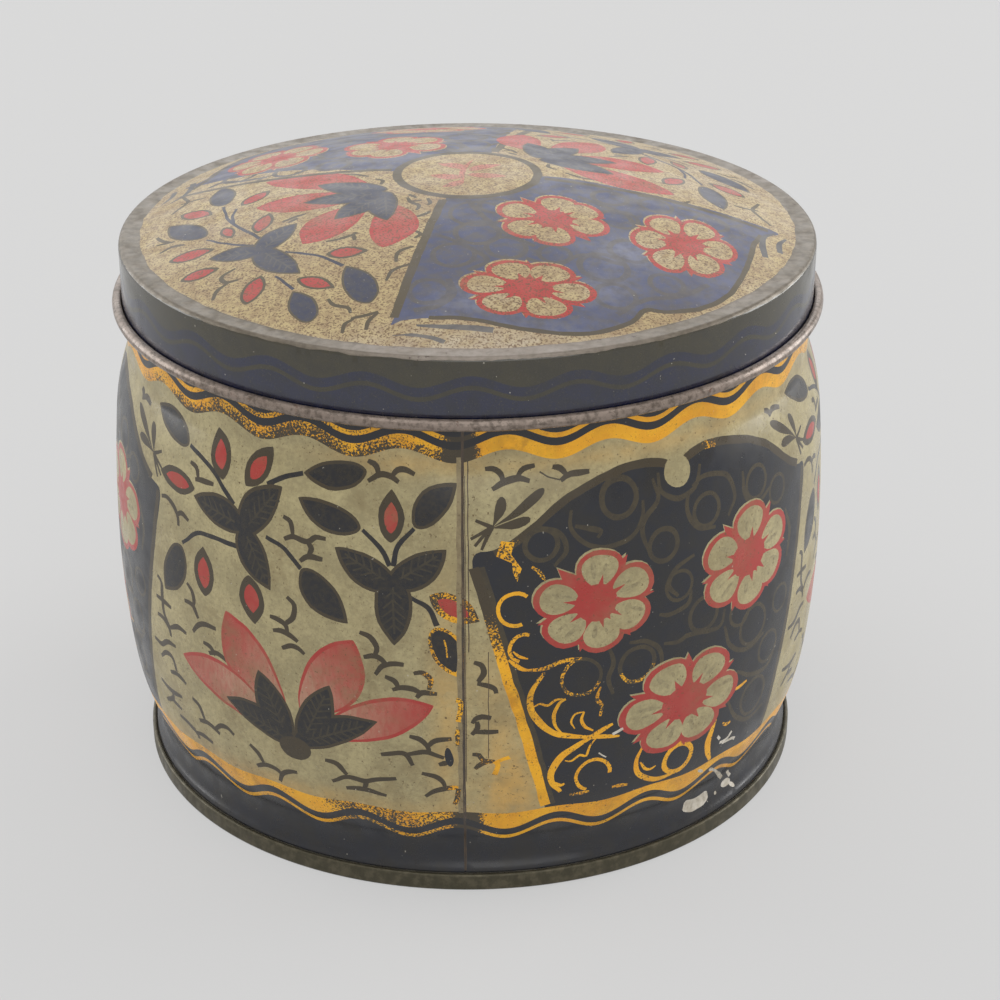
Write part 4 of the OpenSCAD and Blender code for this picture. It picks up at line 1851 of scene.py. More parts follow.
@dataclass(frozen=True)
class GiltPrint(Finish):
    """Gilt ink: bright where it is fresh, speckled where it is going and brown where it has gone.

    Attributes:
        brown: Colour of what is left under it.
        shade: Darker tone of the fresh gilding.
        wear: Age of the surface.
    """

    brown: Rgba
    shade: Rgba
    wear: Wear

    def paint(self, bench: Bench) -> None:
        """Adds what is left of the gilding, and wear.

        Args:
            bench: Material to paint.
        """
        glow = bench.painted("gilt")
        speckle = bench.noise(0.46, 4.0, 0.68, shift=0.6)
        patchy = bench.noise(3.8, 2.0, 0.5, shift=3.4)
        grain = bench.math("ADD", bench.math("MULTIPLY", speckle, 0.8), bench.math("MULTIPLY", patchy, 0.2))
        spread = bench.step(grain, 0.34, 0.66, 0.03, 0.97)
        left = bench.step(bench.math("SUBTRACT", glow, spread), 0.0, 0.09)
        shaded = bench.step(bench.noise(7.0, 3.0, 0.6, shift=2.9), 0.35, 0.7, 0.0, 0.75)
        tone = bench.blend(shaded, self.colour, self.shade)
        self.wear.dress(bench, bench.blend(left, self.brown, tone))
        bench.feed(bench.shader, {"Metallic": bench.math("MULTIPLY", left, 0.15)})


@dataclass(frozen=True)
class BarePlate(Finish):
    """Tinplate without print, dulled and spotted.

    Attributes:
        dull: Tarnished metal.
        spot: Rust spots.
        tarnish: Share that has tarnished, from 0 to 1.
        shine: Roughness.
        metal: Metallic share.
        grain: Size of the tarnish's clouds.
        painted_sheen: Colour of the painted highlight, where the fade value is raised.
    """

    dull: Rgba
    spot: Rgba
    tarnish: float
    shine: float
    metal: float
    grain: float = 9.0
    painted_sheen: Rgba = srgb(138, 128, 119)

    def paint(self, bench: Bench) -> None:
        """Adds tarnish, painted highlight, rust spots and small dents.

        Args:
            bench: Material to paint.
        """
        cloud = bench.noise(self.grain, 5.0, 0.62, shift=2.0)
        dulled = bench.step(cloud, 0.62 - 0.4 * self.tarnish, 0.86 - 0.4 * self.tarnish)
        drawn = bench.noise(1.1, 3.0, 0.6, stretch=(1.0, 1.0, 0.35), shift=5.0)
        dulled = bench.math("MULTIPLY", dulled, bench.step(drawn, 0.15, 0.6, 0.55, 1.0))
        colour = bench.blend(dulled, self.colour, self.dull)
        # Painted highlight: the worn ring and the skirt's corner are paler at the front, where light reflects
        uneven = bench.step(bench.noise(1.4, 4.0, 0.7, shift=6.2), 0.3, 0.66, 0.5, 1.0)
        colour = bench.blend(bench.math("MULTIPLY", bench.painted("fade"), uneven), colour, self.painted_sheen)
        speck = bench.step(bench.noise(1.3, 4.0, 0.66, shift=9.0), 0.61, 0.69)
        place = bench.step(bench.noise(13.0, 2.0, 0.5, shift=7.0), 0.4, 0.62)
        speck = bench.math("MULTIPLY", speck, place)
        colour = bench.blend(speck, colour, self.spot)
        metal = bench.math("SUBTRACT", self.metal, bench.math("MULTIPLY", speck, 0.6))
        cloud = bench.noise(4.0, 4.0, 0.6, shift=1.7)
        rough = bench.step(cloud, 0.3, 0.75, self.shine - 0.08, self.shine + 0.16)
        bench.feed(bench.shader, {"Base Color": colour, "Metallic": metal, "Roughness": rough})
        bench.bump(bench.noise(2.2, 4.0, 0.6, shift=4.4), 0.04, 0.4)


@dataclass(frozen=True)
class TinFinishes:
    """All finishes of the tin. The wall and the lid have aged apart, so each has its own inks."""

    wall_wear: Wear = Wear(0.55, srgb(92, 74, 44), 0.55, srgb(122, 106, 72), 0.3, 0.7, 0.25)
    wall_dark_wear: Wear = Wear(0.25, srgb(80, 74, 60), 0.35, srgb(42, 38, 30), 0.27, 0.5, 0.2, 0.58)
    lid_wear: Wear = Wear(1.0, srgb(98, 74, 54), 0.5, srgb(136, 110, 80), 0.4, 0.5, 0.85)
    lid_dark_wear: Wear = Wear(0.4, srgb(124, 120, 118), 0.4, srgb(84, 80, 82), 0.4, 0.5, 0.5)
    skirt_wear: Wear = Wear(0.6, srgb(62, 58, 50), 0.45, srgb(44, 41, 30), 0.18, 0.4, 0.6, 0.9)

    INSIDE = (srgb(172, 168, 156), srgb(128, 118, 98), srgb(96, 70, 44), 0.35, 0.34, 0.85)

    def wall(self) -> dict[Ink, Material]:
        """Inks of the wall, and its plain inside.

        Returns:
            The material of each ink.
        """
        worn, dark = self.wall_wear, self.wall_dark_wear
        cream = (srgb(175, 163, 122), srgb(148, 137, 102), srgb(200, 160, 88))
        finishes = {
            Ink.CREAM: StainedCream("wall_cream", *cream, worn),
            Ink.NAVY: GroundPrint("wall_navy", srgb(28, 30, 38), srgb(35, 33, 31), 5.0, dark),
            Ink.LEAF: GroundPrint("wall_leaf", srgb(27, 27, 32), srgb(52, 46, 34), 1.0, dark, 0.7),
            Ink.VEIN: GroundPrint("wall_vein", srgb(62, 55, 40), srgb(44, 41, 36), 1.2, dark),
            Ink.RED: RedPrint("wall_red", srgb(163, 52, 46), srgb(174, 132, 110), worn),
            Ink.GILT: GiltPrint("wall_gilt", srgb(240, 176, 28), srgb(64, 54, 36), srgb(222, 150, 20), dark),
            Ink.RUST: GroundPrint("wall_rust", srgb(142, 128, 96), srgb(112, 98, 74), 2.2, worn),
            Ink.SMUDGE: GroundPrint("wall_smudge", srgb(156, 145, 109), srgb(122, 112, 84), 0.8, worn),
            Ink.CHIP: GroundPrint("wall_chip", srgb(206, 200, 188), srgb(176, 168, 152), 1.5, worn),
            Ink.DULL: GroundPrint("wall_dull", srgb(68, 59, 40), srgb(54, 47, 36), 1.6, dark),
            Ink.LINE: GroundPrint("wall_line", srgb(62, 52, 42), srgb(86, 68, 50), 3.0, dark),
            Ink.PLATE: BarePlate("wall_inside", *self.INSIDE),
        }
        return {ink: finish.make() for ink, finish in finishes.items()}

    def lid(self) -> dict[Ink, Material]:
        """Inks and bare metal of the lid.

        Returns:
            The material of each ink.
        """
        worn, dark, skirt = self.lid_wear, self.lid_dark_wear, self.skirt_wear
        cream, navy = (srgb(180, 161, 117), srgb(144, 121, 90)), (srgb(70, 76, 106), srgb(84, 81, 82))
        vein, dull = (srgb(84, 82, 80), srgb(72, 72, 78)), (srgb(88, 83, 78), srgb(76, 75, 84))
        edge = (srgb(112, 103, 90), srgb(90, 82, 69), srgb(72, 58, 46))
        bead = (srgb(138, 124, 114), srgb(94, 83, 74), srgb(92, 66, 50))
        # The last colour given to lid_cream, lid_navy, lid_vein and lid_dull is painted sheen; lid_worn_edge
        # keeps its default painted highlight
        finishes = {
            Ink.CREAM: GroundPrint("lid_cream", *cream, 1.8, worn, 0.8, srgb(186, 174, 154)),
            Ink.NAVY: GroundPrint("lid_navy", *navy, 2.4, dark, 0.9, srgb(134, 137, 154)),
            Ink.SMUDGE: GroundPrint("lid_smudge", srgb(164, 144, 106), srgb(134, 112, 84), 1.1, worn),
            Ink.LEAF: GroundPrint("lid_leaf", srgb(56, 60, 80), srgb(72, 70, 72), 1.2, dark),
            Ink.VEIN: GroundPrint("lid_vein", *vein, 1.2, dark, 0.8, srgb(136, 131, 124)),
            Ink.RED: RedPrint("lid_red", srgb(170, 58, 56), srgb(184, 120, 106), worn),
            Ink.GILT: GiltPrint("lid_gilt", srgb(216, 160, 60), srgb(84, 75, 58), srgb(190, 136, 50), dark),
            Ink.DULL: GroundPrint("lid_dull", *dull, 2.0, dark, 0.8, srgb(126, 127, 138)),
            Ink.SKIRT: GroundPrint("skirt_navy", srgb(26, 30, 56), srgb(29, 29, 34), 3.0, skirt, 0.6),
            Ink.LINE: GroundPrint("skirt_olive", srgb(53, 48, 29), srgb(40, 37, 28), 3.0, skirt, 0.6),
            Ink.TIN: BarePlate("lid_worn_edge", *edge, 0.6, 0.36, 0.3, 2.0),
            Ink.RUST: BarePlate("lid_bead", *bead, 0.5, 0.3, 0.4, 1.2),
            Ink.PLATE: BarePlate("lid_inside", *self.INSIDE),
        }
        return {ink: finish.make() for ink, finish in finishes.items()}

    def base(self) -> dict[Ink, Material]:
        """Tarnished plate of the base."""
        plate = (srgb(92, 86, 69), srgb(70, 66, 51), srgb(60, 50, 37))
        return {Ink.PLATE: BarePlate("base_plate", *plate, 0.7, 0.42, 0.5, 2.0).make()}


@dataclass
class Skin:
    """Faces of one surface, corner by corner.

    Attributes:
        places: Corners in space, in millimetres.
        normals: Surface direction at each corner.
        flat: Corners on the flat sheet, from 0 to 1.
        gilt: Brightness of gilding at each corner.
        fade: Paling of petals, real stain of the wall's cream, and painted sheen on the lid, at each corner.
        inks: Ink of each face.
        sizes: Number of corners of each face.
    """

    places: np.ndarray
    normals: np.ndarray
    flat: np.ndarray
    gilt: np.ndarray
    fade: np.ndarray
    inks: list[Ink]
    sizes: list[int]


def lattice(across: np.ndarray, up: np.ndarray) -> np.ndarray:
    """Points where upright and level lines of a flat sheet cross."""
    columns, rows = np.meshgrid(across, up)
    return np.column_stack([columns.ravel(), rows.ravel()])


class PrintCutter:
    """Cuts a flat print into triangles that keep every outline of ink."""

    EPSILON = 0.004

    def __init__(self, patches: list[Patch], inner: np.ndarray) -> None:
        """Cuts the print.

        Args:
            patches: Outlines in painter's order. The first bounds the sheet.
            inner: Points inside the sheet that let it bend.
        """
        self.patches = patches
        points = [Vector((float(x), float(y))) for x, y in inner]
        outlines = []
        for patch in patches:
            first = len(points)
            points.extend(Vector((float(x), float(y))) for x, y in patch.outline)
            outlines.append(list(range(first, len(points))))
        places, _, faces, _, _, owners = delaunay_2d_cdt(points, [], outlines, 0, self.EPSILON, True)
        self.points = np.array([(v.x, v.y) for v in places])
        kept = [i for i, owner in enumerate(owners) if owner and min(owner) == 0 and len(faces[i]) == 3]
        self.faces = np.array([faces[i] for i in kept])
        self.owner = np.array([max(owners[i]) for i in kept])

    def glow(self, patch: Patch, u: float, v: float, extra: PlaceValue | None) -> float:
        """Brightness of an outline's gilding at a point, with what the place adds to a stated one.

        Args:
            patch: The outline.
            u: First length of the point.
            v: Its second length.
            extra: Brightness that a place adds.

        Returns:
            The brightness.
        """
        if callable(patch.gilt):
            return patch.gilt(u, v)
        return patch.gilt + (extra(u, v) if extra else 0.0)

    def skin(
        self,
        places: np.ndarray,
        normals: np.ndarray,
        flat: np.ndarray,
        extra: PlaceValue | None = None,
        stain: PlaceValue | None = None,
    ) -> Skin:
        """Lays the print on a surface.

        Args:
            places: Each point's place in space.
            normals: Surface direction at each triangle's corners.
            flat: Each point's place on the flat sheet, from 0 to 1.
            extra: Brightness of gilding that a place adds.
            stain: Real stain of the wall's cream, and painted sheen of the lid, at a place.

        Returns:
            The printed surface.
        """
        gilt, fade = np.zeros(self.faces.shape), np.zeros(self.faces.shape)
        for row, (face, owner) in enumerate(zip(self.faces, self.owner)):
            patch = self.patches[owner]
            if patch.ink is Ink.GILT:
                gilt[row] = [self.glow(patch, u, v, extra) for u, v in self.points[face]]
            # The stain value is real stain on the wall's cream and painted sheen on the lid's inks
            if stain and patch.ink in STAIN_AND_SHEEN_INKS:
                fade[row] = [stain(u, v) for u, v in self.points[face]]
            if patch.fade is not None:
                way = patch.fade[1] - patch.fade[0]
                fade[row] = (self.points[face] - patch.fade[0]) @ way / float(way @ way)
        corners = self.faces.ravel()
        inks = [self.patches[i].ink for i in self.owner]
        painted = (np.clip(values, 0, 1).ravel() for values in (gilt, fade))
        return Skin(places[corners], normals.reshape(-1, 3), flat[corners], *painted, inks, [3] * len(inks))


class TurnedSheet(NodeBench):
    """Geometry Nodes tree that turns a section about the tin's axis."""

    WELD = 1e-7
    CREASE = math.radians(38)

    def __init__(self) -> None:
        """Builds the tree once."""
        super().__init__(bpy.data.node_groups.new("turned_sheet", "GeometryNodeTree"))
        face = self.tree.interface
        face.new_socket("Section", in_out="INPUT", socket_type="NodeSocketGeometry")
        kinds = {"Section Points": "Int", "Turns": "Int", "Weld": "Float", "Finish": "Material"}
        self.ids = {
            name: face.new_socket(name, in_out="INPUT", socket_type=f"NodeSocket{kind}").identifier
            for name, kind in kinds.items()
        }
        face.new_socket("Sheet", in_out="OUTPUT", socket_type="NodeSocketGeometry")
        self.build()

    def split(self, vector: Socket) -> bpy.types.NodeOutputs:
        """Adds a split of a vector into X, Y and Z."""
        return self.node("ShaderNodeSeparateXYZ", {"Vector": vector}).outputs

    def sample(self, source: Socket, index: Socket) -> bpy.types.NodeOutputs:
        """Adds a look-up of a point's place by its number, as X, Y and Z.

        Args:
            source: Points to look in.
            index: Number of the point.

        Returns:
            Its X, Y and Z.
        """
        place = self.node("GeometryNodeInputPosition").outputs["Position"]
        made = self.node("GeometryNodeSampleIndex", data_type="FLOAT_VECTOR", domain="POINT")
        self.feed(made, {"Geometry": source, "Value": place, "Index": index})
        return self.split(live(made.outputs, "Value"))

    def number(self, place: Socket, count: Socket) -> Socket:
        """Adds the number of a grid's row or column, from its place between -0.5 and 0.5."""
        share = self.math("ADD", place, 0.5)
        return self.math("ROUND", self.math("MULTIPLY", share, self.math("SUBTRACT", count, 1.0)))

    def build(self) -> None:
        """Adds the nodes: a grid whose rows are the section's points and whose columns are the turns."""
        given = self.node("NodeGroupInput").outputs
        grid = self.node("GeometryNodeMeshGrid", {"Size X": 1.0, "Size Y": 1.0})
        self.feed(grid, {"Vertices X": given["Turns"], "Vertices Y": given["Section Points"]})
        here = self.split(self.node("GeometryNodeInputPosition").outputs["Position"])
        column = self.number(here["X"], given["Turns"])
        row = self.number(here["Y"], given["Section Points"])
        place = self.sample(given["Section"], row)
        turn = self.sample(given["Section"], self.math("ADD", column, given["Section Points"]))["X"]
        right = self.math("MULTIPLY", place["X"], self.math("SINE", turn))
        front = self.math("MULTIPLY", place["X"], self.math("COSINE", turn))
        back = self.math("MULTIPLY", front, -1.0)
        spun = self.node("ShaderNodeCombineXYZ", {"X": right, "Y": back, "Z": place["Z"]})
        chart = self.node("GeometryNodeStoreNamedAttribute", data_type="FLOAT2", domain="CORNER")
        self.feed(chart, {"Geometry": grid.outputs["Mesh"], "Name": BAKE_MAP})
        self.feed(chart, {"Value": grid.outputs["UV Map"]})
        sheet = chart.outputs["Geometry"]
        for kind, more in (
            ("GeometryNodeSetPosition", {"Position": spun.outputs["Vector"]}),
            ("GeometryNodeMergeByDistance", {"Distance": given["Weld"]}),
            ("GeometryNodeRealizeInstances", {}),
            ("GeometryNodeSetMaterial", {"Material": given["Finish"]}),
        ):
            sheet = self.node(kind, {"Geometry": sheet, **more}).outputs["Geometry"]
        self.node("NodeGroupOutput", {"Sheet": sheet})

    def make(self, section: Sequence[Point], turns: Sequence[float], finish: Material) -> bpy.types.Mesh:
        """Turns one section.

        Args:
            section: Radius and height of its points, in millimetres, with the outside on the right.
            turns: Angles of its columns, from the front, first and last a full turn apart.
            finish: Material of the sheet.

        Returns:
            The mesh, in metres.
        """
        points = [(r * MM, 0.0, z * MM) for r, z in section] + [(angle, 0.0, 0.0) for angle in turns]
        mesh = bpy.data.meshes.new("section")
        mesh.from_pydata(points, [], [])
        carrier = bpy.data.objects.new("section", mesh)
        bpy.context.scene.collection.objects.link(carrier)
        modifier = carrier.modifiers.new("turned_sheet", "NODES")
        modifier.node_group = self.tree
        for name, value in zip(self.ids, (len(section), len(turns), self.WELD, finish)):
            modifier[self.ids[name]] = value
        graph = bpy.context.evaluated_depsgraph_get()
        made = bpy.data.meshes.new_from_object(carrier.evaluated_get(graph))
        carrier.modifiers.remove(modifier)
        bpy.data.objects.remove(carrier)
        return made

    def skin(self, mesh: bpy.types.Mesh, ink: Ink) -> Skin:
        """Reads a turned mesh and removes it.

        Args:
            mesh: The mesh, in metres.
            ink: Ink of all its faces.

        Returns:
            Its surface.
        """
        mesh.polygons.foreach_set("use_smooth", [True] * len(mesh.polygons))
        mesh.set_sharp_from_angle(angle=self.CREASE)
        count = len(mesh.loops)
        corner, flat = np.empty(count, dtype=np.int32), np.empty(2 * count)
        place = np.empty(3 * len(mesh.vertices))
        mesh.loops.foreach_get("vertex_index", corner)
        mesh.vertices.foreach_get("co", place)
        mesh.uv_layers[BAKE_MAP].data.foreach_get("uv", flat)
        places = place.reshape(-1, 3)[corner] / MM
        normals = np.array([tuple(item.vector) for item in mesh.corner_normals])
        sizes = [len(face.vertices) for face in mesh.polygons]
        bpy.data.meshes.remove(mesh)
        plain = np.zeros(count)
        return Skin(places, normals, flat.reshape(-1, 2), plain, plain, [ink] * len(sizes), sizes)


class PieceMesh:
    """Collects surfaces and welds them into one piece."""

    WELD = 1e4

    def __init__(self, name: str, finishes: dict[Ink, Material]) -> None:
        """Starts an empty piece.

        Args:
            name: Name of the piece.
            finishes: Material of each ink.
        """
        self.name = name
        self.finishes = finishes
        self.skins: list[Skin] = []

    def add(self, skin: Skin, box: Box) -> None:
        """Adds a surface, with its flat sheet fitted into a box on the bake map."""
        low, high = np.asarray(box[:2]), np.asarray(box[2:])
        self.skins.append(replace(skin, flat=low + skin.flat * (high - low)))

    def gather(self, name: str) -> np.ndarray:
        """All surfaces' values of one kind, one after the other."""
        return np.concatenate([getattr(skin, name) for skin in self.skins])

    def make(self) -> bpy.types.Object:
        """Welds what was added, and leaves out faces that have no area.

        Returns:
            The piece's object, in metres.
        """
        places, sizes = self.gather("places"), self.gather("sizes")
        cells = np.round(places * self.WELD).astype(np.int64)
        keys, first, corner = np.unique(cells, axis=0, return_index=True, return_inverse=True)
        corner = corner.reshape(-1)
        starts = np.concatenate([[0], np.cumsum(sizes)[:-1]])
        kept = [i for i, (s, n) in enumerate(zip(starts, sizes)) if len(set(corner[s : s + n].tolist())) == n]
        take = np.concatenate([np.arange(starts[i], starts[i] + sizes[i]) for i in kept])
        order = list(self.finishes)
        slots = np.array([order.index(ink) for skin in self.skins for ink in skin.inks])
        begin = np.concatenate([[0], np.cumsum(sizes[kept])[:-1]])
        mesh = bpy.data.meshes.new(self.name)
        mesh.vertices.add(len(keys))
        mesh.vertices.foreach_set("co", (places[first] * MM).ravel())
        mesh.loops.add(len(take))
        mesh.loops.foreach_set("vertex_index", corner[take].astype(np.int32))
        mesh.polygons.add(len(kept))
        mesh.polygons.foreach_set("loop_start", begin.astype(np.int32))
        mesh.polygons.foreach_set("material_index", slots[kept].astype(np.int32))
        mesh.polygons.foreach_set("use_smooth", [True] * len(kept))
        for finish in self.finishes.values():
            mesh.materials.append(finish)
        for name in ("gilt", "fade"):
            painted = mesh.attributes.new(name, "FLOAT", "CORNER")
            painted.data.foreach_set("value", self.gather(name)[take].astype(np.float32))
        chart = mesh.uv_layers.new(name=BAKE_MAP)
        chart.data.foreach_set("uv", self.gather("flat")[take].ravel())
        mesh.update(calc_edges=True)
        mesh.validate()
        mesh.normals_split_custom_set(self.gather("normals")[take].tolist())
        piece = bpy.data.objects.new(self.name, mesh)
        bpy.context.scene.collection.objects.link(piece)
        return piece


def spin(radius: np.ndarray, height: np.ndarray, turn: np.ndarray) -> np.ndarray:
    """Points at a radius, a height and an angle from the front, to the right seen from there."""
    return np.column_stack([radius * np.sin(turn), -radius * np.cos(turn), height])


@dataclass
class TinWall:
    """The printed wall: outside print, folded mouth, plain inside and the lock seam's plies."""

    columns: int = 240
    lock_step: float = 0.15
    lock_rise: float = 0.9
    art: WallArt = field(default_factory=WallArt)

    ON_SHEET = 0.02
    ON_EDGE = 1e-3
    COLUMN_GAP = 0.6

    def turns(self) -> np.ndarray:
        """Angles of the columns once round, with extra ones beside the lock seam.

        Returns:
            The angles, in radians.
        """
        belly = TIN.belly_r
        near = np.array([TIN.groove_w / 2, TIN.lock_w / 2, TIN.lock_w / 2 + self.lock_step]) / belly
        even = FULL_TURN * np.arange(1, self.columns) / self.columns
        extra = np.concatenate([near, FULL_TURN - near])
        gap = np.min(np.abs(even[:, None] - extra[None, :]), axis=1)
        return np.sort(np.concatenate([[0.0, FULL_TURN], extra, even[gap > self.COLUMN_GAP / belly]]))

    def cut(self, heights: np.ndarray) -> PrintCutter:
        """Cuts the print so that both sides of the side seam have their points at the same heights.

        Args:
            heights: Heights of the barrel's rows.

        Returns:
            The cut print.
        """
        start, end = self.art.start, self.art.end
        across = start + self.turns() * TIN.belly_r
        across[-1] = end
        patches, inner = self.art.draw(), lattice(across, heights)
        points = PrintCutter(patches, inner).points
        missing = [
            (there, z)
            for here, there in ((start, end), (end, start))
            for z in points[np.abs(points[:, 0] - here) < self.ON_EDGE][:, 1]
        ]
        return PrintCutter(patches, np.vstack([inner, missing]))

    def skin(self) -> Skin:
        """Wraps the print on the barrel, with a groove along the side seam.

        Returns:
            The printed surface.
        """
        path = TIN.barrel()
        radii, heights = np.array(path.beside(TIN.half)).T
        cutter = self.cut(heights)
        u, z = cutter.points.T
        start, end, half = self.art.start, self.art.end, TIN.groove_w / 2
        turn = (u - start) / TIN.belly_r
        aside = np.minimum(np.abs(u - start), np.abs(u - end))
        radius = np.interp(z, heights, radii) - TIN.groove_depth * np.clip(1 - aside / half, 0, 1)
        slope = np.interp(z, heights, path.headings())
        normals = spin(np.cos(slope), -np.sin(slope), turn)[cutter.faces]
        sideways = spin(np.ones_like(turn), np.zeros_like(turn), turn + math.pi / 2)
        middle = u[cutter.faces].mean(axis=1)
        for edge, sign in ((start, -1.0), (end, 1.0)):
            inside = np.abs(middle - edge) < half
            tilted = normals[inside] + sign * TIN.groove_depth / half * sideways[cutter.faces[inside]]
            normals[inside] = tilted / np.linalg.norm(tilted, axis=2, keepdims=True)
        low, high = TIN.seam_h, TIN.mouth_start
        flat = np.column_stack([(u - start) / TIN.turn_length, (z - low) / (high - low)])
        return cutter.skin(spin(radius, z, turn), normals, flat, self.art.brown_glow, self.art.stain)

    def lining(self, turner: TurnedSheet, finish: Material) -> Skin:
        """Turns the mouth's fold, the inside and the flange, and raises the lock seam's plies.

        Args:
            turner: Tree that turns a section.
            finish: Finish of the inside.

        Returns:
            The inside's surface.
        """
        hem, hook, half = TIN.hem(), TIN.wall_hook(), TIN.half
        inside = TIN.barrel().beside(-half)
        section = [*hem.beside(half), *hem.beside(-half)[::-1], *inside[::-1][1:]]
        section += [*hook.beside(-half)[::-1][1:], *hook.beside(half)]
        mesh = turner.make(section, self.turns(), finish)
        radii, heights = np.array(inside).T
        half_lock = (TIN.lock_w / 2 + self.lock_step / 2) / TIN.belly_r
        bottom, top = TIN.seam_h + TIN.lock_start, TIN.body_h - TIN.hem_depth - TIN.lock_stop
        for vertex in mesh.vertices:
            x, y, z = (part / MM for part in vertex.co)
            radius = math.hypot(x, y)
            on_inside = abs(radius - float(np.interp(z, heights, radii))) < self.ON_SHEET and bottom < z < top
            if on_inside and abs(math.atan2(x, -y)) < half_lock:
                share = (radius - self.lock_rise) / radius
                vertex.co.x *= share
                vertex.co.y *= share
        mesh.update()
        return turner.skin(mesh, Ink.PLATE)

    def build(self, turner: TurnedSheet, finishes: dict[Ink, Material]) -> bpy.types.Object:
        """Builds and dresses the wall.

        Args:
            turner: Tree that turns a section.
            finishes: Material of each ink.

        Returns:
            The wall's object.
        """
        piece = PieceMesh("tin_wall", finishes)
        piece.add(self.skin(), (0.002, 0.002, 0.998, 0.7))
        piece.add(self.lining(turner, finishes[Ink.PLATE]), (0.002, 0.71, 0.998, 0.998))
        made = piece.make()
        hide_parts("body_wall")
        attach(made, "tin")
        return made


@dataclass
class TinBase:
    """The pressed base with the five plies of its double seam."""

    columns: int = 240

    def build(self, turner: TurnedSheet, finishes: dict[Ink, Material]) -> bpy.types.Object:
        """Builds and dresses the base.

        Args:
            turner: Tree that turns a section.
            finishes: Its tarnished plate.

        Returns:
            The base's object.
        """
        path = TIN.base()
        section = [*path.beside(TIN.half), *path.beside(-TIN.half)[::-1]]
        turns = np.linspace(0, FULL_TURN, self.columns + 1)
        piece = PieceMesh("tin_base", finishes)
        mesh = turner.make(section, turns, finishes[Ink.PLATE])
        piece.add(turner.skin(mesh, Ink.PLATE), (0.002, 0.002, 0.998, 0.998))
        made = piece.make()
        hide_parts("base_disc")
        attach(made, "tin")
        return made


@dataclass
class TinLid:
    """The slip lid: printed dome and skirt, bare bead and plain inside."""

    columns: int = 240
    lattice_step: float = 2.6
    art_turn: float = 1.05
    dome_art: LidArt = field(default_factory=LidArt)
    skirt_art: SkirtArt = field(default_factory=SkirtArt)

    def dome_skin(self) -> Skin:
        """Wraps the round print on the dome and the flat ring.

        Returns:
            The printed surface.
        """
        path = TIN.dome()
        radii, heights = np.array(path.beside(-TIN.half)).T
        patches = self.dome_art.draw(radii[-1], self.columns)
        patches[0].outline = turned(patches[0].outline, -self.art_turn)
        rings = [circle(ring, max(6, round(FULL_TURN * ring / self.lattice_step))) for ring in radii[1:-1]]
        cutter = PrintCutter(patches, np.vstack([np.zeros((1, 2)), *rings]))
        plan = turned(cutter.points, self.art_turn)
        radius, turn = np.hypot(*plan.T), np.arctan2(plan[:, 0], -plan[:, 1])
        slope = np.interp(radius, radii, path.headings())
        normals = spin(-np.cos(slope), np.sin(slope), turn)[cutter.faces]
        places = spin(radius, np.interp(radius, radii, heights), turn)
        # The lid's inks get their painted sheen through the stain value
        return cutter.skin(places, normals, plan / (2 * radii[-1]) + 0.5, stain=self.dome_art.painted_sheen)

    def skirt_painted_highlight(self, x: float, y: float) -> float:
        """Painted highlight on the skirt's bare corner, as strong as the dome's painted sheen at the print's
        edge.
        """
        return self.dome_art.painted_sheen(x, y - self.dome_art.print_r)

    def skirt_skin(self) -> Skin:
        """Wraps the print on the corner and the skirt.

        Returns:
            The printed surface.
        """
        path = TIN.skirt()
        radii, heights = np.array(path.beside(-TIN.half)).T
        along = np.concatenate([[0.0], np.cumsum(np.hypot(np.diff(radii), np.diff(heights)))])
        length, start, drop = TIN.turn_length, -TIN.turn_length / 2, float(along[-1])
        across = np.linspace(start, start + length, self.columns + 1)
        cutter = PrintCutter(self.skirt_art.draw(start, length, drop), lattice(across, -along))
        u, down = cutter.points[:, 0], -cutter.points[:, 1]
        turn = u / TIN.belly_r
        slope = np.interp(down, along, path.headings())
        normals = spin(-np.cos(slope), np.sin(slope), turn)[cutter.faces]
        places = spin(np.interp(down, along, radii), np.interp(down, along, heights), turn)
        flat = np.column_stack([(u - start) / length, 1 - down / drop])
        # The skirt's bare corner gets its painted highlight through the stain value
        return cutter.skin(places, normals, flat, stain=self.skirt_painted_highlight)

    def build(self, turner: TurnedSheet, finishes: dict[Ink, Material]) -> bpy.types.Object:
        """Builds and dresses the lid.

        Args:
            turner: Tree that turns a section.
            finishes: Material of each ink.

        Returns:
            The lid's object.
        """
        dome, skirt, curl = TIN.dome(), TIN.skirt(), TIN.curl()
        inside = [*dome.beside(TIN.half), *skirt.beside(TIN.half)[1:]]
        bead = [*curl.beside(TIN.half), *curl.beside(-TIN.half)[::-1]]
        turns = np.linspace(-math.pi, math.pi, self.columns + 1)
        piece = PieceMesh("tin_lid", finishes)
        piece.add(self.dome_skin(), (0.002, 0.35, 0.65, 0.998))
        piece.add(self.skirt_skin(), (0.002, 0.18, 0.998, 0.34))
        for section, ink, box in (
            (inside, Ink.PLATE, (0.002, 0.07, 0.998, 0.17)),
            (bead, Ink.RUST, (0.002, 0.002, 0.998, 0.06)),
        ):
            piece.add(turner.skin(turner.make(section, turns, finishes[ink]), ink), box)
        made = piece.make()
        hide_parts("slip_lid")
        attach(made, "lid")
        return made


@dataclass(frozen=True)
class SoftLamp:
    """A large soft lamp.

    Attributes:
        name: Its name.
        place: Where it stands, in metres.
        size: Width and height, in metres.
        power: Power in watts.
    """

    name: str
    place: Triple
    size: Point
    power: float

    def build(self, aim: Vector) -> None:
        """Adds the lamp, turned to a point.

        Args:
            aim: The point.
        """
        data = bpy.data.lights.new(self.name, "AREA")
        data.shape = "RECTANGLE"
        data.size, data.size_y = self.size
        data.energy = self.power
        lamp = bpy.data.objects.new(self.name, data)
        lamp.location = self.place
        lamp.rotation_euler = (aim - Vector(self.place)).to_track_quat("-Z", "Y").to_euler()
        bpy.context.scene.collection.objects.link(lamp)


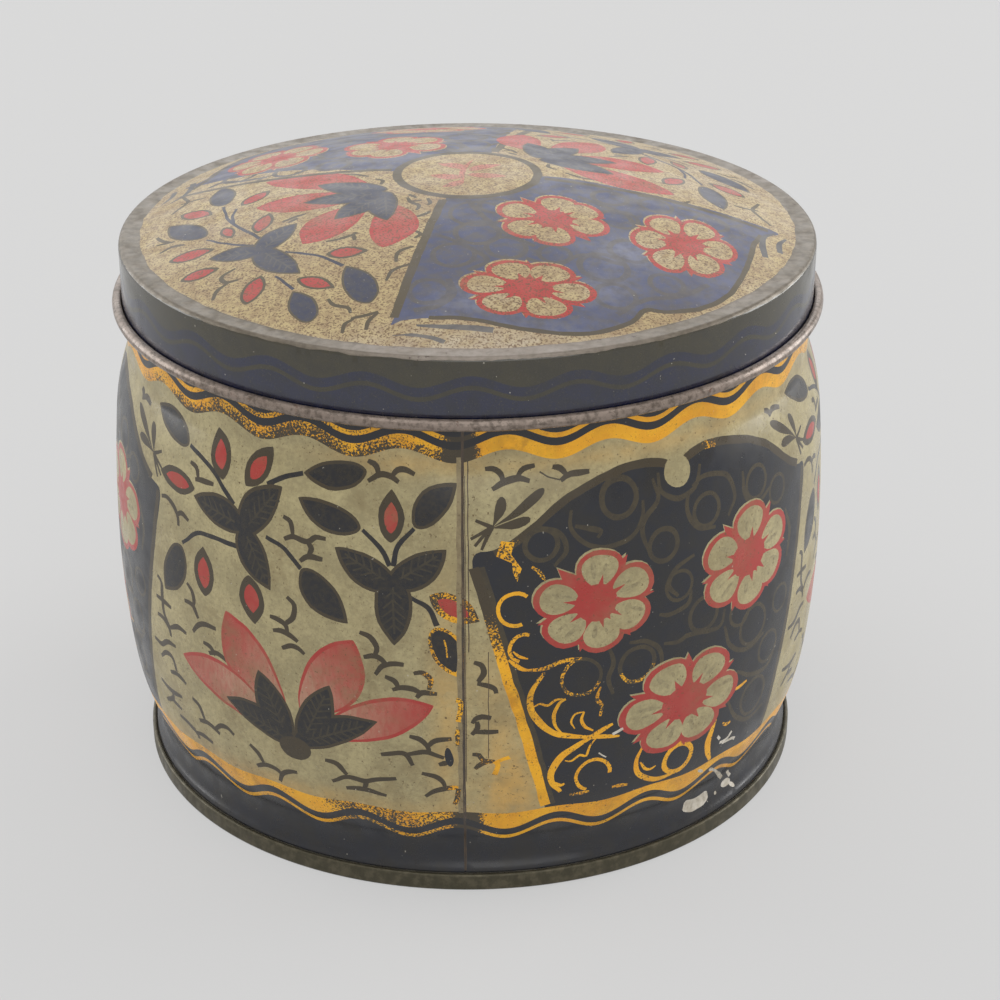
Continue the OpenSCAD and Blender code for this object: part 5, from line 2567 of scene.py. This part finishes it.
@dataclass
class Studio:
    """Floor, soft light and camera."""

    floor_size: float = 12.0
    floor_colour: Rgba = srgb(209, 209, 209)
    floor_even: float = 0.72
    world_level: float = 0.58
    world_colour: Rgba = (1.0, 0.99, 0.97, 1.0)
    lamp_aim: float = 0.07
    lens: float = 88.2
    sensor: float = 36.0
    camera_back: float = 0.52094
    camera_up: float = 0.30948
    camera_turn: float = 1.05
    camera_pitch: float = 25.85
    camera_yaw: float = 0.79
    lamps: tuple[SoftLamp, ...] = (
        SoftLamp("overhead", (0.0, -0.5, 1.7), (1.8, 1.8), 11.0),
        SoftLamp("left_window", (-1.6, 0.7, 0.6), (1.4, 1.2), 16.0),
        SoftLamp("right_fill", (1.6, 0.7, 0.6), (1.2, 1.2), 22.0),
        SoftLamp("back_panel", (-0.2, 2.1, 1.0), (3.0, 1.5), 15.0),
        SoftLamp("front_fill", (0.4, -1.8, 0.9), (1.6, 1.2), 6.0),
    )

    def floor(self) -> None:
        """Adds a plain pale floor."""
        half = self.floor_size / 2
        corners = [(-half, -half, 0), (half, -half, 0), (half, half, 0), (-half, half, 0)]
        mesh = bpy.data.meshes.new("floor")
        mesh.from_pydata(corners, [], [(0, 1, 2, 3)])
        material = bpy.data.materials.new("pale_floor")
        material.use_nodes = True
        self.dress_floor(material.node_tree)
        mesh.materials.append(material)
        plane = bpy.data.objects.new("floor", mesh)
        bpy.context.scene.collection.objects.link(plane)
        plane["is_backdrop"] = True

    def dress_floor(self, tree: bpy.types.NodeTree) -> None:
        """Gives the floor its colour: partly lit, so that it keeps a faint shadow, and mostly even when seen.

        Args:
            tree: Node tree of the floor's material.
        """
        tree.nodes.clear()
        bench = NodeBench(tree)
        lit = bench.node("ShaderNodeBsdfDiffuse", {"Color": self.floor_colour}).outputs["BSDF"]
        even = bench.node("ShaderNodeEmission", {"Color": self.floor_colour}).outputs["Emission"]
        path = bench.node("ShaderNodeLightPath").outputs
        seen = bench.math("MAXIMUM", path["Is Camera Ray"], path["Is Glossy Ray"])
        seen = bench.math("MAXIMUM", seen, path["Is Transmission Ray"])
        share = bench.math("MULTIPLY", seen, self.floor_even)
        both = bench.node("ShaderNodeMixShader", {0: share, 1: lit, 2: even})
        bench.node("ShaderNodeOutputMaterial", {"Surface": both.outputs["Shader"]})

    def light(self) -> None:
        """Adds the even surroundings and the soft lamps."""
        world = bpy.data.worlds.new("studio")
        world.use_nodes = True
        background = world.node_tree.nodes["Background"]
        background.inputs["Color"].default_value = self.world_colour
        background.inputs["Strength"].default_value = self.world_level
        bpy.context.scene.world = world
        for lamp in self.lamps:
            lamp.build(Vector((0.0, 0.0, self.lamp_aim)))

    def camera(self) -> None:
        """Adds the camera at the photograph's place."""
        data = bpy.data.cameras.new("camera")
        data.lens = self.lens
        data.sensor_width = self.sensor
        data.sensor_fit = "HORIZONTAL"
        camera = bpy.data.objects.new("camera", data)
        turn = math.radians(self.camera_turn)
        back = self.camera_back
        camera.location = (back * math.sin(turn), -back * math.cos(turn), self.camera_up)
        pan = math.radians(self.camera_turn - self.camera_yaw)
        camera.rotation_euler = (math.radians(90 - self.camera_pitch), 0.0, pan)
        bpy.context.scene.collection.objects.link(camera)
        bpy.context.scene.camera = camera

    def build(self) -> None:
        """Sets up the whole studio."""
        bpy.context.scene.view_settings.view_transform = "Standard"
        self.floor()
        self.light()
        self.camera()


def plain(box: Sequence[Sequence[float]]) -> list[list[float]]:
    """A box as plain lists of numbers."""
    return [[float(part) for part in corner] for corner in box]


def main() -> None:
    """Builds the studio and the tin, piece by piece, logs each piece's faces and finishes, and dumps the
    sizes to a JSON string.
    """
    logging.basicConfig(level=logging.INFO, format="%(name)s: %(message)s")
    noise.seed_set(HAND_SEED)
    Studio().build()
    finishes = TinFinishes()
    turner = TurnedSheet()
    pieces = (
        TinWall().build(turner, finishes.wall()),
        TinBase().build(turner, finishes.base()),
        TinLid().build(turner, finishes.lid()),
    )
    for piece in pieces:
        LOG.info("%s: %d faces, %d finishes", piece.name, len(piece.data.polygons), len(piece.data.materials))
    json.dumps({"cad": plain(CAD_BOX), "visual": plain(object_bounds())})


if __name__ == "__main__":
    main()
